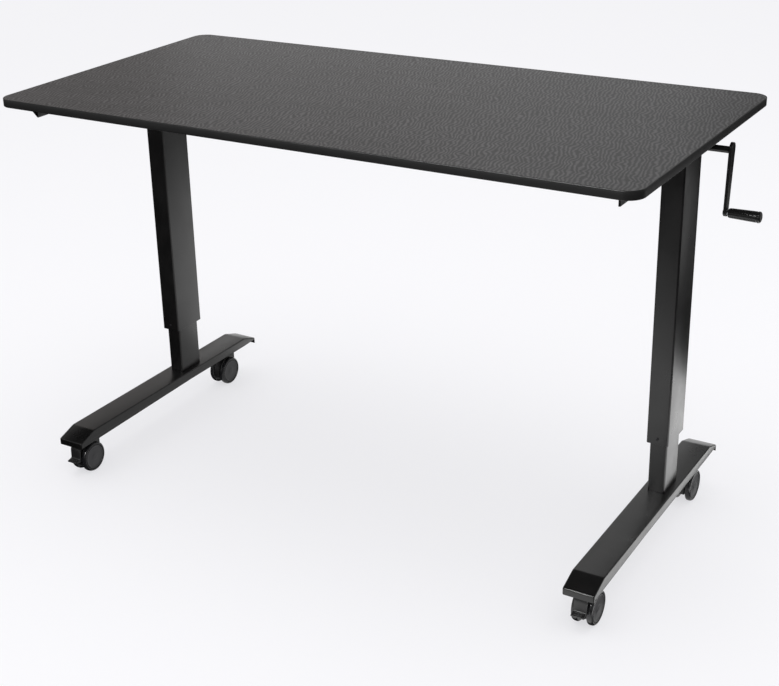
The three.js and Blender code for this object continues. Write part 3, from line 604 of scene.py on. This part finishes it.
for side, sign in SIDES:
    side_rail(side, sign)

# %% [markdown]
# ## Screws through the side rails
# Five screws go up through each rail into the board. All heads of one rail make one piece, because
# they share a body and a finish and nobody picks a single screw.

# %% Screws through the side rails
RAIL_SCREW_PLACES = (-285, -120, 20, 175, 285)
for side, sign in SIDES:
    row = [placed(pan_screw(6 * MM), turn=POINT_UP, move=(
        middle_x + sign * (rail_near + rail_far) / 2 + sign * 3 * MM, place * MM,
        rail_high.z - RAIL_SHEET)) for place in RAIL_SCREW_PLACES]
    made(gathered(row), f"rail_screws_{side}", "upper", "zinc_steel", (black_steel,))

# %% [markdown]
# ## Cross rails
# Two rectangular tubes run from column to column beside the shaft and keep the desk from racking.
# A cube is stretched, its long edges are rounded, its ends are opened, and the wall is given its
# thickness inwards.

# %% Cross rails
TUBE_WALL = 2 * MM
CROSS_RAIL_CORNER = 3.5 * MM


def hollow(bm, axis, wall):
    """Opens both ends of a closed bar and gives it a wall inwards."""
    ends = [face for face in bm.faces if abs(face.normal[axis]) > 0.99]
    bmesh.ops.delete(bm, geom=ends, context="FACES")
    bmesh.ops.solidify(bm, geom=bm.faces[:], thickness=wall)
    bmesh.ops.recalc_face_normals(bm, faces=bm.faces)
    return bm


for end in ENDS:
    bar = block(*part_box(f"cross_rail_{end}"))
    lengthways = [edge for edge in bar.edges
                  if abs(edge.verts[0].co.x - edge.verts[1].co.x) > 1 * MM]
    bmesh.ops.bevel(bar, geom=lengthways, offset=CROSS_RAIL_CORNER, segments=4, profile=0.5,
                    affect="EDGES", material=-1)
    hollow(bar, 0, TUBE_WALL)
    made(bar, f"stretcher_{end}", "upper", "powder_coat", (powder_coat,), [f"cross_rail_{end}"])

# %% [markdown]
# ## Column brackets
# A plate welded on the head of each column carries the board, and its folded flange meets the side
# rail. The sleeve of the crank passes through the flange. Plate and flange are two blocks joined
# into one, drilled, and eased.

# %% Column brackets
PLATE_THICKNESS = 3.4 * MM
FLANGE_THICKNESS = 2.7 * MM
SLEEVE_HOLE = 8 * MM
outer_half = size("outer_column_right") / 2

for side, sign in SIDES:
    low, high = (Vector(corner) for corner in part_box("column_bracket_right"))
    plate = block((low.x, low.y, high.z - PLATE_THICKNESS), high)
    flange = block((high.x - FLANGE_THICKNESS, column_y - outer_half.y, low.z),
                   (high.x, column_y + outer_half.y, high.z - PLATE_THICKNESS / 2))
    bracket = combined(plate, flange, "UNION")
    drill = turned([(0, -20 * MM, 0), (SLEEVE_HOLE, -20 * MM, 0), (SLEEVE_HOLE, 20 * MM, 0),
                    (0, 20 * MM, 0)], turns=32)
    placed(drill, move=(high.x, column_y, SHAFT_Z))
    bracket = combined(bracket, drill, "DIFFERENCE")
    ease(bracket, 0.5 * MM, steps=2, sharper=math.radians(60))
    placed(bracket, move=(-middle_x, 0, 0))
    placed(bracket, move=(middle_x, 0, 0), mirror=sign < 0)
    made(bracket, f"head_plate_{side}", "upper", "powder_coat", (powder_coat,),
         [f"column_bracket_{side}"])
    ears = [placed(pan_screw(5 * MM), turn=POINT_UP, move=(
        middle_x + sign * (column_out + x * MM), column_y + y * MM, high.z - PLATE_THICKNESS))
        for x in (-14, 14) for y in (-60, 60)]
    made(gathered(ears), f"plate_screws_{side}", "upper", "zinc_steel", (black_steel,))

# %% [markdown]
# ## Columns
# Cold-formed rectangular tubes, the inner one sliding in the outer one. Cold forming rounds the
# corners to about twice the wall. The tube is a stretched cube with bevelled upright edges, opened
# and given its wall. The outer tube is drilled for the shaft and for the screw of its bush.

# %% A rectangular tube
TUBE_CORNER = 4 * MM


def column_tube(node):
    """A tube that fills a CAD column's box."""
    bar = block(*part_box(node))
    standing = [edge for edge in bar.edges
                if abs(edge.verts[0].co.z - edge.verts[1].co.z) > 1 * MM]
    bmesh.ops.bevel(bar, geom=standing, offset=TUBE_CORNER, segments=6, profile=0.5,
                    affect="EDGES", material=-1)
    hollow(bar, 2, TUBE_WALL)
    return bar


# %% [markdown]
# ## Outer columns
# The outer tube hangs from the bracket. Near its head a hole lets the hexagon shaft through: right
# through both walls at the crank's side, through the inner wall only at the other side. A small
# hole in the front wall takes the screw of the bush. Both holes are drilled by the exact boolean.

# %% Outer columns
SHAFT_HOLE = 7 * MM
SCREW_HOLE = 2.7 * MM
screw_z = centre("glide_screw_left").z

for side, sign in SIDES:
    tube = column_tube(f"outer_column_{side}")
    reach = outer_half.x + 2 * MM
    ends_at = (-reach, reach) if sign > 0 else (0, reach)
    drill = turned([(0, ends_at[0], 0), (SHAFT_HOLE, ends_at[0], 0), (SHAFT_HOLE, ends_at[1], 0),
                    (0, ends_at[1], 0)], turns=32)
    placed(drill, move=(middle_x + sign * column_out, column_y, SHAFT_Z))
    tube = combined(tube, drill, "DIFFERENCE")
    drill = turned([(0, 0, 0), (SCREW_HOLE, 0, 0), (SCREW_HOLE, outer_half.y, 0),
                    (0, outer_half.y, 0)], turns=20)
    placed(drill, turn=Matrix.Rotation(-math.pi / 2, 4, "Z"),
           move=(middle_x + sign * column_out, column_y - outer_half.y / 2, screw_z))
    tube = combined(tube, drill, "DIFFERENCE")
    ease(tube, 0.35 * MM, steps=1, sharper=math.radians(60))
    made(tube, f"outer_tube_{side}", "upper", "powder_coat", (powder_coat,),
         [f"outer_column_{side}"])

# %% [markdown]
# ## Inner columns and the screws of their bushes
# The inner tube is the smaller of the pair and stands on the foot. It slides in a plastic bush
# that one small screw holds in the mouth of the outer tube. The screw is the same pan head as
# above, only three quarters of its size, so its mesh is scaled before it is put in place.

# %% Inner columns and the bush screws
BUSH_SCREW_SHARE = 0.75

for side, sign in SIDES:
    tube = column_tube(f"inner_column_{side}")
    ease(tube, 0.35 * MM, steps=1, sharper=math.radians(60))
    made(tube, f"inner_tube_{side}", "base", "powder_coat", (powder_coat,),
         [f"inner_column_{side}"])
    screw = pan_screw(9 * MM)
    seat = Vector(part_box(f"glide_screw_{side}")[0]).y + HEAD_HEIGHT
    placed(screw, turn=POINT_BACK @ Matrix.Scale(BUSH_SCREW_SHARE, 4),
           move=(middle_x + sign * column_out, seat, screw_z))
    made(screw, f"bush_screw_{side}", "upper", "zinc_steel", (black_steel,),
         [f"glide_screw_{side}"])

# %% [markdown]
# ## Feet
# Each foot is one blank of 2.5 mm sheet, folded into a channel that opens downwards. The top runs
# flat, slopes down near both ends and turns down in a lip. Flanges run along both sides and taper
# away under the slopes. The side view is drawn once with its folds rounded, pushed to the foot's
# width, rounded along its long top edges where the flanges fold down, opened below, and given the
# sheet's thickness inwards.

# %% Feet
FOOT_SHEET = 2.5 * MM
LIP_HEIGHT = 15 * MM
LIP_RETURN = 4 * MM
SLOPE_LENGTH = 49 * MM
FLANGE_HEIGHT = 22 * MM
FLANGE_RUNOUT = 4 * MM
FOLD_RADIUS = 3.2 * MM


def foot_sheet(node):
    """The folded channel that fills a CAD foot's box."""
    low, high = (Vector(corner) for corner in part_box(node))
    tip = low.z + LIP_HEIGHT
    flange = high.z - FLANGE_HEIGHT
    bm = pushed([
        (low.y, low.z, 0), (low.y, tip, 2.2 * MM), (low.y + SLOPE_LENGTH, high.z, 3 * MM),
        (high.y - SLOPE_LENGTH, high.z, 3 * MM), (high.y, tip, 2.2 * MM), (high.y, low.z, 0),
        (high.y - LIP_RETURN, low.z, 2 * MM), (high.y - LIP_RETURN, tip - FLANGE_RUNOUT, 1 * MM),
        (high.y - SLOPE_LENGTH, flange, 3 * MM), (low.y + SLOPE_LENGTH, flange, 3 * MM),
        (low.y + LIP_RETURN, tip - FLANGE_RUNOUT, 1 * MM), (low.y + LIP_RETURN, low.z, 2 * MM)],
        low.x, high.x)
    below = [face for face in bm.faces if abs(face.normal.x) < 0.5
             and low.y + 1 * MM < face.calc_center_median().y < high.y - 1 * MM
             and (face.normal.z < -0.5 or face.calc_center_median().z < tip - FLANGE_RUNOUT / 2)]
    bmesh.ops.delete(bm, geom=below, context="FACES")
    folds = [edge for edge in bm.edges if edge.is_manifold
             and abs(edge.verts[0].co.x - edge.verts[1].co.x) < 0.01 * MM
             and edge.calc_face_angle(0) > math.radians(80)]
    bmesh.ops.bevel(bm, geom=folds, offset=FOLD_RADIUS, segments=4, profile=0.5,
                    affect="EDGES", material=-1)
    bmesh.ops.solidify(bm, geom=bm.faces[:], thickness=FOOT_SHEET)
    bmesh.ops.recalc_face_normals(bm, faces=bm.faces)
    return bm


for side, sign in SIDES:
    made(foot_sheet(f"foot_{side}"), f"foot_channel_{side}", "base", "powder_coat",
         (powder_coat,), [f"foot_{side}"])

# %% [markdown]
# ## Bolts under the feet
# Each column is held by four hexagon bolts through the foot into the block in its inner tube. They
# show only from below, as heads on washers.

# %% Column bolts
BOLT_CORNER_RADIUS = 7 * MM
BOLT_HEAD = 4.5 * MM


def hex_bolt():
    """A bolt head on a washer, along X, with its seat at 0 and its head towards -X."""
    washer = turned([(0, -1.2 * MM, 0), (8 * MM, -1.2 * MM, 0.3 * MM), (8 * MM, 0, 0), (0, 0, 0)],
                    turns=28, steps=2)
    head = bmesh.new()
    bmesh.ops.create_cone(head, cap_ends=True, segments=6, radius1=BOLT_CORNER_RADIUS,
                          radius2=BOLT_CORNER_RADIUS, depth=BOLT_HEAD)
    placed(head, turn=Matrix.Rotation(math.pi / 2, 4, "Y"), move=(-3.2 * MM, 0, 0))
    return ease(combined(washer, head, "UNION"), 0.3 * MM, steps=1)


for side, sign in SIDES:
    under = Vector(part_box(f"foot_{side}")[1]).z - FOOT_SHEET
    heads = [placed(hex_bolt(), turn=POINT_UP, move=(
        middle_x + sign * column_out + x * MM, column_y + y * MM, under))
        for x in (-11, 11) for y in (-24, 24)]
    made(gathered(heads), f"column_bolts_{side}", "base", "zinc_steel", (zinc,))

# %% [markdown]
# ## Caster wheels
# Twin wheels of hard plastic, each with rounded shoulders and a satin disc set into its outer
# face. The wheel is turned from one profile, from the blind bore for the axle, round the tread,
# to the middle of the disc. The faces of the disc get the second material.

# %% Caster wheels
WHEEL_RADIUS = 37 * MM
WHEEL_WIDTH = 13 * MM
WHEEL_IN = 10.5 * MM                 # middle of the caster to the wheel's inner face
DISC_RADIUS = 30 * MM
AXLE_BORE = 3.4 * MM
BORE_DEPTH = 9.5 * MM


def caster_wheel():
    """A wheel on the X axis, with its outer face towards +X."""
    out = WHEEL_IN + WHEEL_WIDTH
    wheel = turned([
        (0, WHEEL_IN + BORE_DEPTH, 0), (AXLE_BORE, WHEEL_IN + BORE_DEPTH, 0),
        (AXLE_BORE, WHEEL_IN, 0.3 * MM), (9 * MM, WHEEL_IN, 0.5 * MM),
        (10 * MM, WHEEL_IN + 1.2 * MM, 0.5 * MM), (27 * MM, WHEEL_IN + 1.2 * MM, 0.5 * MM),
        (28 * MM, WHEEL_IN, 0.5 * MM), (WHEEL_RADIUS - 1.8 * MM, WHEEL_IN, 0.6 * MM),
        (WHEEL_RADIUS, WHEEL_IN + 2 * MM, 1.2 * MM), (WHEEL_RADIUS, out - 4 * MM, 2 * MM),
        (WHEEL_RADIUS - 2.2 * MM, out - 0.7 * MM, 1.4 * MM),
        (DISC_RADIUS + 1.2 * MM, out, 0.8 * MM),
        (DISC_RADIUS + 0.5 * MM, out - 2.2 * MM, 0.3 * MM),
        (DISC_RADIUS, out - 2.2 * MM, 0.3 * MM), (DISC_RADIUS - 1 * MM, out - 0.6 * MM, 0.5 * MM),
        (DISC_RADIUS - 3.4 * MM, out - 0.5 * MM, 0.4 * MM),
        (DISC_RADIUS - 4.6 * MM, out - 1.3 * MM, 0.4 * MM),
        (8 * MM, out - 0.8 * MM, 0.3 * MM), (7.4 * MM, out - 0.5 * MM, 0.3 * MM),
        (0, out - 0.5 * MM, 0)], turns=64, steps=3)
    for face in wheel.faces:
        middle = face.calc_center_median()
        from_axis = math.hypot(middle.y, middle.z)
        on_disc = middle.x > out - 2 * MM and from_axis < DISC_RADIUS + 0.1 * MM
        face.material_index = 1 if on_disc else 0
    return wheel


for end in ENDS:
    for side, sign in SIDES:
        for hand, way in SIDES:
            node = f"wheel_{hand}_{end}_{side}"
            stem = centre(f"caster_stem_{end}_{side}")
            hub = centre(node)
            wheel = placed(caster_wheel(), mirror=way < 0, move=(stem.x, hub.y, hub.z))
            made(wheel, f"wheel_body_{hand}_{end}_{side}", node, "caster_wheel", (tread, disc),
                 [node])

# %% [markdown]
# ## Caster hoods and stems
# The hood is one nylon moulding: a web between the wheels, which carries the axle, and a round
# neck that turns on the steel stem. The web's side view is an arc that follows the wheels, drawn
# with a few corners and large roundings, and pushed to its thickness. The stem has a square plate
# under the foot and a loose collar above the neck.

# %% Caster hoods
HOOD_HALF = 8 * MM
HOOD_RADIUS = 36 * MM
NECK_RADIUS = 13 * MM
TRAIL = 24 * MM


def caster_hood(stem, neck_top):
    """Web, post and neck of one caster, with its stem at the given place."""
    rim = bmesh.new()
    bmesh.ops.create_cone(rim, cap_ends=True, segments=64, radius1=HOOD_RADIUS,
                          radius2=HOOD_RADIUS, depth=2 * HOOD_HALF)
    placed(rim, turn=Matrix.Rotation(math.pi / 2, 4, "Y"))
    below = pushed([
        (-50 * MM, -60 * MM, 0), (-50 * MM, -7 * MM, 0), (-21.6 * MM, -15 * MM, 6 * MM),
        (16 * MM, -12.6 * MM, 8 * MM), (40 * MM, 4 * MM, 0), (50 * MM, -60 * MM, 0)],
        -2 * HOOD_HALF, 2 * HOOD_HALF)
    web = combined(rim, below, "DIFFERENCE")
    post = pushed([(TRAIL - NECK_RADIUS, 0, 0), (TRAIL - NECK_RADIUS, 39 * MM, 0),
                   (TRAIL + NECK_RADIUS, 39 * MM, 2 * MM), (TRAIL + NECK_RADIUS, 3.6 * MM, 3 * MM),
                   (30 * MM, 0, 3 * MM)], -HOOD_HALF + 0.02 * MM, HOOD_HALF - 0.02 * MM)
    web = ease(combined(web, post, "UNION"), 1.6 * MM, steps=3, sharper=math.radians(60))
    neck = turned([(0, 35 * MM, 0), (NECK_RADIUS, 37.5 * MM, 1.5 * MM),
                   (NECK_RADIUS, neck_top - 37 * MM - 3.4 * MM, 0.5 * MM),
                   (NECK_RADIUS - 1 * MM, neck_top - 37 * MM - 2.6 * MM, 0.3 * MM),
                   (NECK_RADIUS - 1 * MM, neck_top - 37 * MM, 0.6 * MM),
                   (0, neck_top - 37 * MM, 0)], turns=48, steps=3)
    placed(neck, turn=Matrix.Rotation(-math.pi / 2, 4, "Y"), move=(0, TRAIL, 0))
    web = combined(web, neck, "UNION")
    bore = turned([(0, 20 * MM, 0), (5.9 * MM, 20 * MM, 0), (5.9 * MM, 90 * MM, 0),
                   (0, 90 * MM, 0)], turns=32)
    placed(bore, turn=Matrix.Rotation(-math.pi / 2, 4, "Y"), move=(0, TRAIL, 3.7 * MM))
    web = combined(web, bore, "DIFFERENCE")
    bore = turned([(0, -20 * MM, 0), (AXLE_BORE, -20 * MM, 0), (AXLE_BORE, 20 * MM, 0),
                   (0, 20 * MM, 0)], turns=32)
    web = combined(web, bore, "DIFFERENCE")
    return placed(web, move=(stem.x, stem.y - TRAIL, WHEEL_RADIUS))


def caster_stem(node):
    """Square plate with the round stem below it and a collar between them."""
    low, high = (Vector(corner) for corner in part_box(node))
    middle = (low + high) / 2
    plate = block((low.x, low.y, high.z - 4 * MM), high)
    standing = [edge for edge in plate.edges
                if abs(edge.verts[0].co.z - edge.verts[1].co.z) > 1 * MM]
    bmesh.ops.bevel(plate, geom=standing, offset=6 * MM, segments=4, profile=0.5,
                    affect="EDGES", material=-1)
    ease(plate, 0.4 * MM, steps=1)
    pin = turned([(0, low.z, 0), (5.5 * MM, low.z, 0.8 * MM), (5.5 * MM, high.z - 5.6 * MM, 0),
                  (8.5 * MM, high.z - 5.6 * MM, 0.4 * MM), (8.5 * MM, high.z - 3 * MM, 0),
                  (0, high.z - 3 * MM, 0)], turns=40, steps=3)
    placed(pin, turn=Matrix.Rotation(-math.pi / 2, 4, "Y"), move=(middle.x, middle.y, 0))
    return combined(plate, pin, "UNION")


for end in ENDS:
    for side, sign in SIDES:
        place = f"{end}_{side}"
        stem = centre(f"caster_stem_{place}")
        neck_top = Vector(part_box(f"caster_hood_{place}")[1]).z
        made(caster_hood(stem, neck_top), f"hood_{place}", f"swivel_{place}", "nylon", (nylon,),
             [f"caster_hood_{place}"])
        made(caster_stem(f"caster_stem_{place}"), f"stem_{place}", "base", "zinc_steel", (zinc,),
             [f"caster_stem_{place}"])

# %% [markdown]
# ## Brake pedals
# A toe lever covers the front of each front caster. It is a thin moulding bent round the wheels,
# with two arms inside that turn on the axle, and small ribs on the toe so a shoe doesn't slip. The
# side view is one closed outline of even thickness, pushed to the pedal's width.

# %% Brake pedals
PEDAL_HALF = 14 * MM


def brake_pedal(axle):
    """The lever with its two arms, round an axle along X."""
    cover = pushed([
        (-8 * MM, 41.2 * MM, 1 * MM), (-35.2 * MM, 41.2 * MM, 6 * MM),
        (-42.2 * MM, 34.2 * MM, 6 * MM), (-43.2 * MM, 9 * MM, 3 * MM), (-57 * MM, 6 * MM, 1 * MM),
        (-57 * MM, 3 * MM, 1 * MM), (-41.2 * MM, 1 * MM, 2 * MM), (-38.5 * MM, 3 * MM, 1 * MM),
        (-38.5 * MM, 32.5 * MM, 4 * MM), (-32.5 * MM, 38.5 * MM, 4 * MM),
        (-8 * MM, 38.5 * MM, 1 * MM)], -PEDAL_HALF, PEDAL_HALF)
    ease(cover, 0.9 * MM, steps=3, sharper=math.radians(70))
    for near in (-10.1 * MM, 8.3 * MM):
        arm = pushed([(0, -6 * MM, 0), (0, 6 * MM, 0), (-39.5 * MM, 29 * MM, 0),
                      (-39.5 * MM, 8 * MM, 0)], near, near + 1.8 * MM)
        hub = turned([(0, near, 0), (6.5 * MM, near, 0), (6.5 * MM, near + 1.8 * MM, 0),
                      (0, near + 1.8 * MM, 0)], turns=32)
        cover = combined(combined(cover, arm, "UNION"), hub, "UNION")
    bore = turned([(0, -20 * MM, 0), (AXLE_BORE, -20 * MM, 0), (AXLE_BORE, 20 * MM, 0),
                   (0, 20 * MM, 0)], turns=32)
    cover = combined(cover, bore, "DIFFERENCE")
    for along in (-47, -50.5, -54):
        rib = turned([(0, -10 * MM, 0), (0.7 * MM, -10 * MM, 0.3 * MM),
                      (0.7 * MM, 10 * MM, 0.3 * MM), (0, 10 * MM, 0)], turns=12, steps=2)
        height = 9 * MM + (along + 43.2) * MM * 3 / 13.8
        cover = combined(cover, placed(rib, move=(0, along * MM, height)), "UNION")
    return placed(cover, move=axle)


for side, sign in SIDES:
    stem = centre(f"caster_stem_front_{side}")
    axle = Vector((stem.x, stem.y - TRAIL, WHEEL_RADIUS))
    made(brake_pedal(axle), f"toe_lever_{side}", f"brake_front_{side}", "nylon", (nylon,),
         [f"brake_pedal_front_{side}"])

# %% [markdown]
# ## Crank
# A round sleeve slips over the hexagon shaft and ends in a flat, tapered arm, which carries a
# revolving grip. The arm leans a little from upright, so it is built straight below the shaft and
# then turned about the shaft's axis. A small fillet of weld joins sleeve and arm.

# %% Crank sleeve and arm
LEAN_DEGREES = -5.2
LEAN = Matrix.Rotation(math.radians(LEAN_DEGREES), 4, "X")
SHAFT_PLACE = (middle_x, column_y, SHAFT_Z)
sleeve_from = Vector(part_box("crank_shaft")[0]).x - middle_x
sleeve_to = Vector(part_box("crank_shaft")[1]).x - middle_x
arm_from = Vector(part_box("crank_arm")[0]).x - middle_x
arm_to = Vector(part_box("crank_arm")[1]).x - middle_x
SLEEVE_RADIUS = 7 * MM
SOCKET_RADIUS = 5 * MM
SOCKET_DEPTH = 28 * MM
WELD_SIZE = 1.1 * MM
THROW = 125.5 * MM
ARM_TOP = 16 * MM                    # shaft axis to the arm's upper end
ARM_WIDE = 12 * MM                   # half of the arm's width by the shaft
ARM_NARROW = 8 * MM                  # and by the grip
ALMOST = 0.999                       # keeps two roundings of one end from touching

sleeve = turned([
    (0, sleeve_from + SOCKET_DEPTH, 0), (SOCKET_RADIUS, sleeve_from + SOCKET_DEPTH, 0),
    (SOCKET_RADIUS, sleeve_from, 0.3 * MM), (SLEEVE_RADIUS, sleeve_from, 0.6 * MM),
    (SLEEVE_RADIUS, sleeve_to - 2.4 * MM, 1.5 * MM),
    (SLEEVE_RADIUS + WELD_SIZE, sleeve_to - 0.2 * MM, 0.4 * MM),
    (SLEEVE_RADIUS + WELD_SIZE, sleeve_to, 0), (0, sleeve_to, 0)], turns=48)
made(placed(sleeve, turn=LEAN, move=SHAFT_PLACE), "crank_sleeve", "crank", "powder_coat",
     (powder_coat,), ["crank_shaft"])

arm = pushed([
    (-ARM_WIDE, ARM_TOP, ARM_WIDE * ALMOST), (ARM_WIDE, ARM_TOP, ARM_WIDE * ALMOST),
    (ARM_NARROW, -THROW - ARM_NARROW, ARM_NARROW * ALMOST),
    (-ARM_NARROW, -THROW - ARM_NARROW, ARM_NARROW * ALMOST)], arm_from, arm_to, steps=10)
hole = turned([(0, arm_from - 2 * MM, 0), (4.3 * MM, arm_from - 2 * MM, 0),
               (4.3 * MM, arm_to + 2 * MM, 0), (0, arm_to + 2 * MM, 0)], turns=32)
arm = combined(arm, placed(hole, move=(0, 0, -THROW)), "DIFFERENCE")
ease(arm, 0.9 * MM, steps=3, sharper=math.radians(60))
made(placed(arm, turn=LEAN, move=SHAFT_PLACE), "crank_lever", "crank", "powder_coat",
     (powder_coat,), ["crank_arm"])

# %% [markdown]
# ## Crank grip
# The grip is a tapered plastic handle that spins on a headed pin. It is turned from one profile:
# a thin start at the arm, a swelling taper, a groove, and a rounded end with a shallow dimple.

# %% Crank grip
grip_high = Vector(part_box("crank_grip")[1]).x - middle_x
grip_start = Vector(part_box("crank_grip")[0]).x - middle_x


def from_end(distance):
    return grip_high - distance * MM


grip = turned([
    (0, from_end(6.5), 0), (4.4 * MM, from_end(6.5), 0), (4.4 * MM, grip_start, 0.3 * MM),
    (9.2 * MM, grip_start, 1.1 * MM), (10 * MM, grip_start + 4 * MM, 1.5 * MM),
    (10.8 * MM, from_end(34), 12 * MM), (11.4 * MM, from_end(9), 0.5 * MM),
    (10.6 * MM, from_end(7.6), 0.5 * MM), (11.7 * MM, from_end(6.4), 0.6 * MM),
    (11.7 * MM, from_end(2.6), 1.6 * MM), (8.6 * MM, from_end(0.2), 1.8 * MM),
    (4.2 * MM, from_end(0.1), 0.4 * MM), (3.6 * MM, from_end(0.8), 0.4 * MM),
    (0, from_end(0.8), 0)], turns=56)
placed(grip, move=(0, 0, -THROW))
made(placed(grip, turn=LEAN, move=SHAFT_PLACE), "revolving_grip", "grip", "grip_plastic",
     (grip_plastic,), ["crank_grip"])

# %% [markdown]
# ## Floor
# A plain pale floor that seems to go on for ever. It glows a little by itself, as a lit white
# sweep does, so the soft shadows under the desk stay light. Polished black steel would mirror the
# whole floor, which no studio has, so the floor itself is left out of reflections and smaller
# cards stand in for it.

# %% Floor
FLOOR_HALF = 40
FLOOR_GLOW = 0.7
floor_mesh = bmesh.new()
bmesh.ops.create_grid(floor_mesh, x_segments=1, y_segments=1, size=FLOOR_HALF)
floor = as_object(floor_mesh, "floor")
floor_paint, tree, place = new_material("pale_floor")
glow = add(tree, "BsdfPrincipled", {
    "Base Color": linear("979798"), "Roughness": 0.9, "Specular IOR Level": 0.0,
    "Emission Color": linear("f3f3f6"), "Emission Strength": FLOOR_GLOW})
show(tree, glow)
floor.data.materials.append(floor_paint)
floor.visible_glossy = False

# %% [markdown]
# ## Reflection cards
# Black gloss is shaped by what it mirrors. Cards that only reflections can see stand where a
# studio has lit walls and lit paper: a ring of wall round the desk, brightest behind it, a small
# bright key card in front on the left for the thin lines along the folds, and patches of lit
# floor round the right foot.

# %% Reflection cards
def card(name, corners, strength, colour="ffffff"):
    """A flat glowing panel that only shows in reflections."""
    bm = bmesh.new()
    bmesh.ops.contextual_create(bm, geom=[bm.verts.new(corner) for corner in corners])
    panel = as_object(bm, name)
    material, tree, place = new_material(name + "_glow")
    lamp = add(tree, "Emission", {"Color": linear(colour), "Strength": strength})
    add(tree, "OutputMaterial", {"Surface": lamp.outputs["Emission"]})
    panel.data.materials.append(material)
    panel.visible_camera = False
    panel.visible_diffuse = False
    panel.visible_shadow = False
    return panel


def wall(name, bearing, strength, distance=4.5, half=2.6, low=0.5, high=3.6, colour="ffffff"):
    """A standing card at a bearing, in degrees left of straight behind the desk."""
    turn = Matrix.Rotation(math.radians(bearing), 4, "Z")
    card(name, [turn @ Vector(corner) for corner in (
        (-half, distance, low), (half, distance, low), (half, distance, high),
        (-half, distance, high))], strength, colour)


PAPER_LEVEL = 2 * MM                 # just above the floor


def paper(name, low, high, strength):
    """A glowing sheet on the floor between two (x, y) corners."""
    card(name, [(low[0], low[1], PAPER_LEVEL), (high[0], low[1], PAPER_LEVEL),
                (high[0], high[1], PAPER_LEVEL), (low[0], high[1], PAPER_LEVEL)], strength)


wall("wall_back_left", 48, 0.5, high=4.0, colour="fffaf8")
wall("wall_back", 0, 0.25, low=0.15, high=2.9)
wall("wall_back_high", 5, 1.1, low=3.0, high=4.6)
wall("wall_back_low", 28, 0.95, distance=4.3, half=2.2, low=0.5, high=2.05)
wall("wall_left", 100, 0.5)
wall("wall_right", -60, 0.45)
wall("wall_front_right", -125, 0.4)
wall("wall_front_left", 160, 0.4)
card("key_card", [(-1.1, -3.1, 2.2), (0.1, -3.1, 2.2), (0.1, -3.1, 3.4), (-1.1, -3.1, 3.4)], 45)
paper("paper_right", (0.7, -0.4), (1.3, 0.9), 2.2)
paper("paper_right_far", (1.35, 1.4), (2.4, 2.6), 0.6)
paper("paper_under", (-0.7, -0.32), (0.66, 0.44), 0.55)
paper("paper_back", (-1.6, 0.46), (0.66, 2.0), 1.3)
paper("paper_front", (-0.2, -1.0), (0.68, -0.34), 1.3)
paper("paper_far_front", (-0.2, -1.7), (0.68, -1.02), 0.5)

# %% [markdown]
# ## Lights
# One very large softbox overhead gives the even light and the faint shadows. A smaller one in
# front on the right puts small highlights on the wheels and the grip.

# %% Lights and world
def softbox(name, place, aim, width, power, spread=math.pi):
    light = bpy.data.lights.new(name, "AREA")
    light.shape, light.size, light.energy, light.spread = "SQUARE", width, power, spread
    lamp = bpy.data.objects.new(name, light)
    lamp.location = place
    lamp.rotation_euler = (Vector(aim) - Vector(place)).to_track_quat("-Z", "Y").to_euler()
    bpy.context.scene.collection.objects.link(lamp)
    lamp.visible_camera = False
    return lamp


overhead = softbox("overhead_softbox", (0.1, -0.1, 3.6), (0, 0, 0.4), 3.2, 46)
overhead.visible_glossy = False
softbox("front_softbox", (1.6, -2.6, 2.6), (0.3, -0.2, 0.3), 0.5, 8)

WORLD_STRENGTH = 0.95
world = bpy.data.worlds.new("studio")
world.use_nodes = True
world.node_tree.nodes["Background"].inputs["Color"].default_value = linear("f5f4f5")
world.node_tree.nodes["Background"].inputs["Strength"].default_value = WORLD_STRENGTH
world.cycles_visibility.glossy = False
bpy.context.scene.world = world
bpy.context.scene.view_settings.view_transform = "Standard"

# %% [markdown]
# ## Camera
# The camera stands in front on the right, above the top, and looks down. Its place and angles are
# given as a note on a studio plan would: how far it is turned, tipped and rolled.

# %% Camera
YAW, PITCH, ROLL = 32.296, 22.991, -1.730
STAND = (1.5426, -2.6073, 1.7082)
LENS_MM, SENSOR_MM = 66.67, 36
SHIFT = (0.0432, -0.0294)            # no larger than the framing needs
camera_data = bpy.data.cameras.new("camera")
camera_data.lens = LENS_MM
camera_data.sensor_width = SENSOR_MM
camera_data.shift_x, camera_data.shift_y = SHIFT
camera = bpy.data.objects.new("camera", camera_data)
camera.matrix_world = (Matrix.Translation(STAND)
                       @ Matrix.Rotation(math.radians(YAW), 4, "Z")
                       @ Matrix.Rotation(math.radians(90 - PITCH), 4, "X")
                       @ Matrix.Rotation(math.radians(ROLL), 4, "Z"))
bpy.context.scene.collection.objects.link(camera)
bpy.context.scene.camera = camera
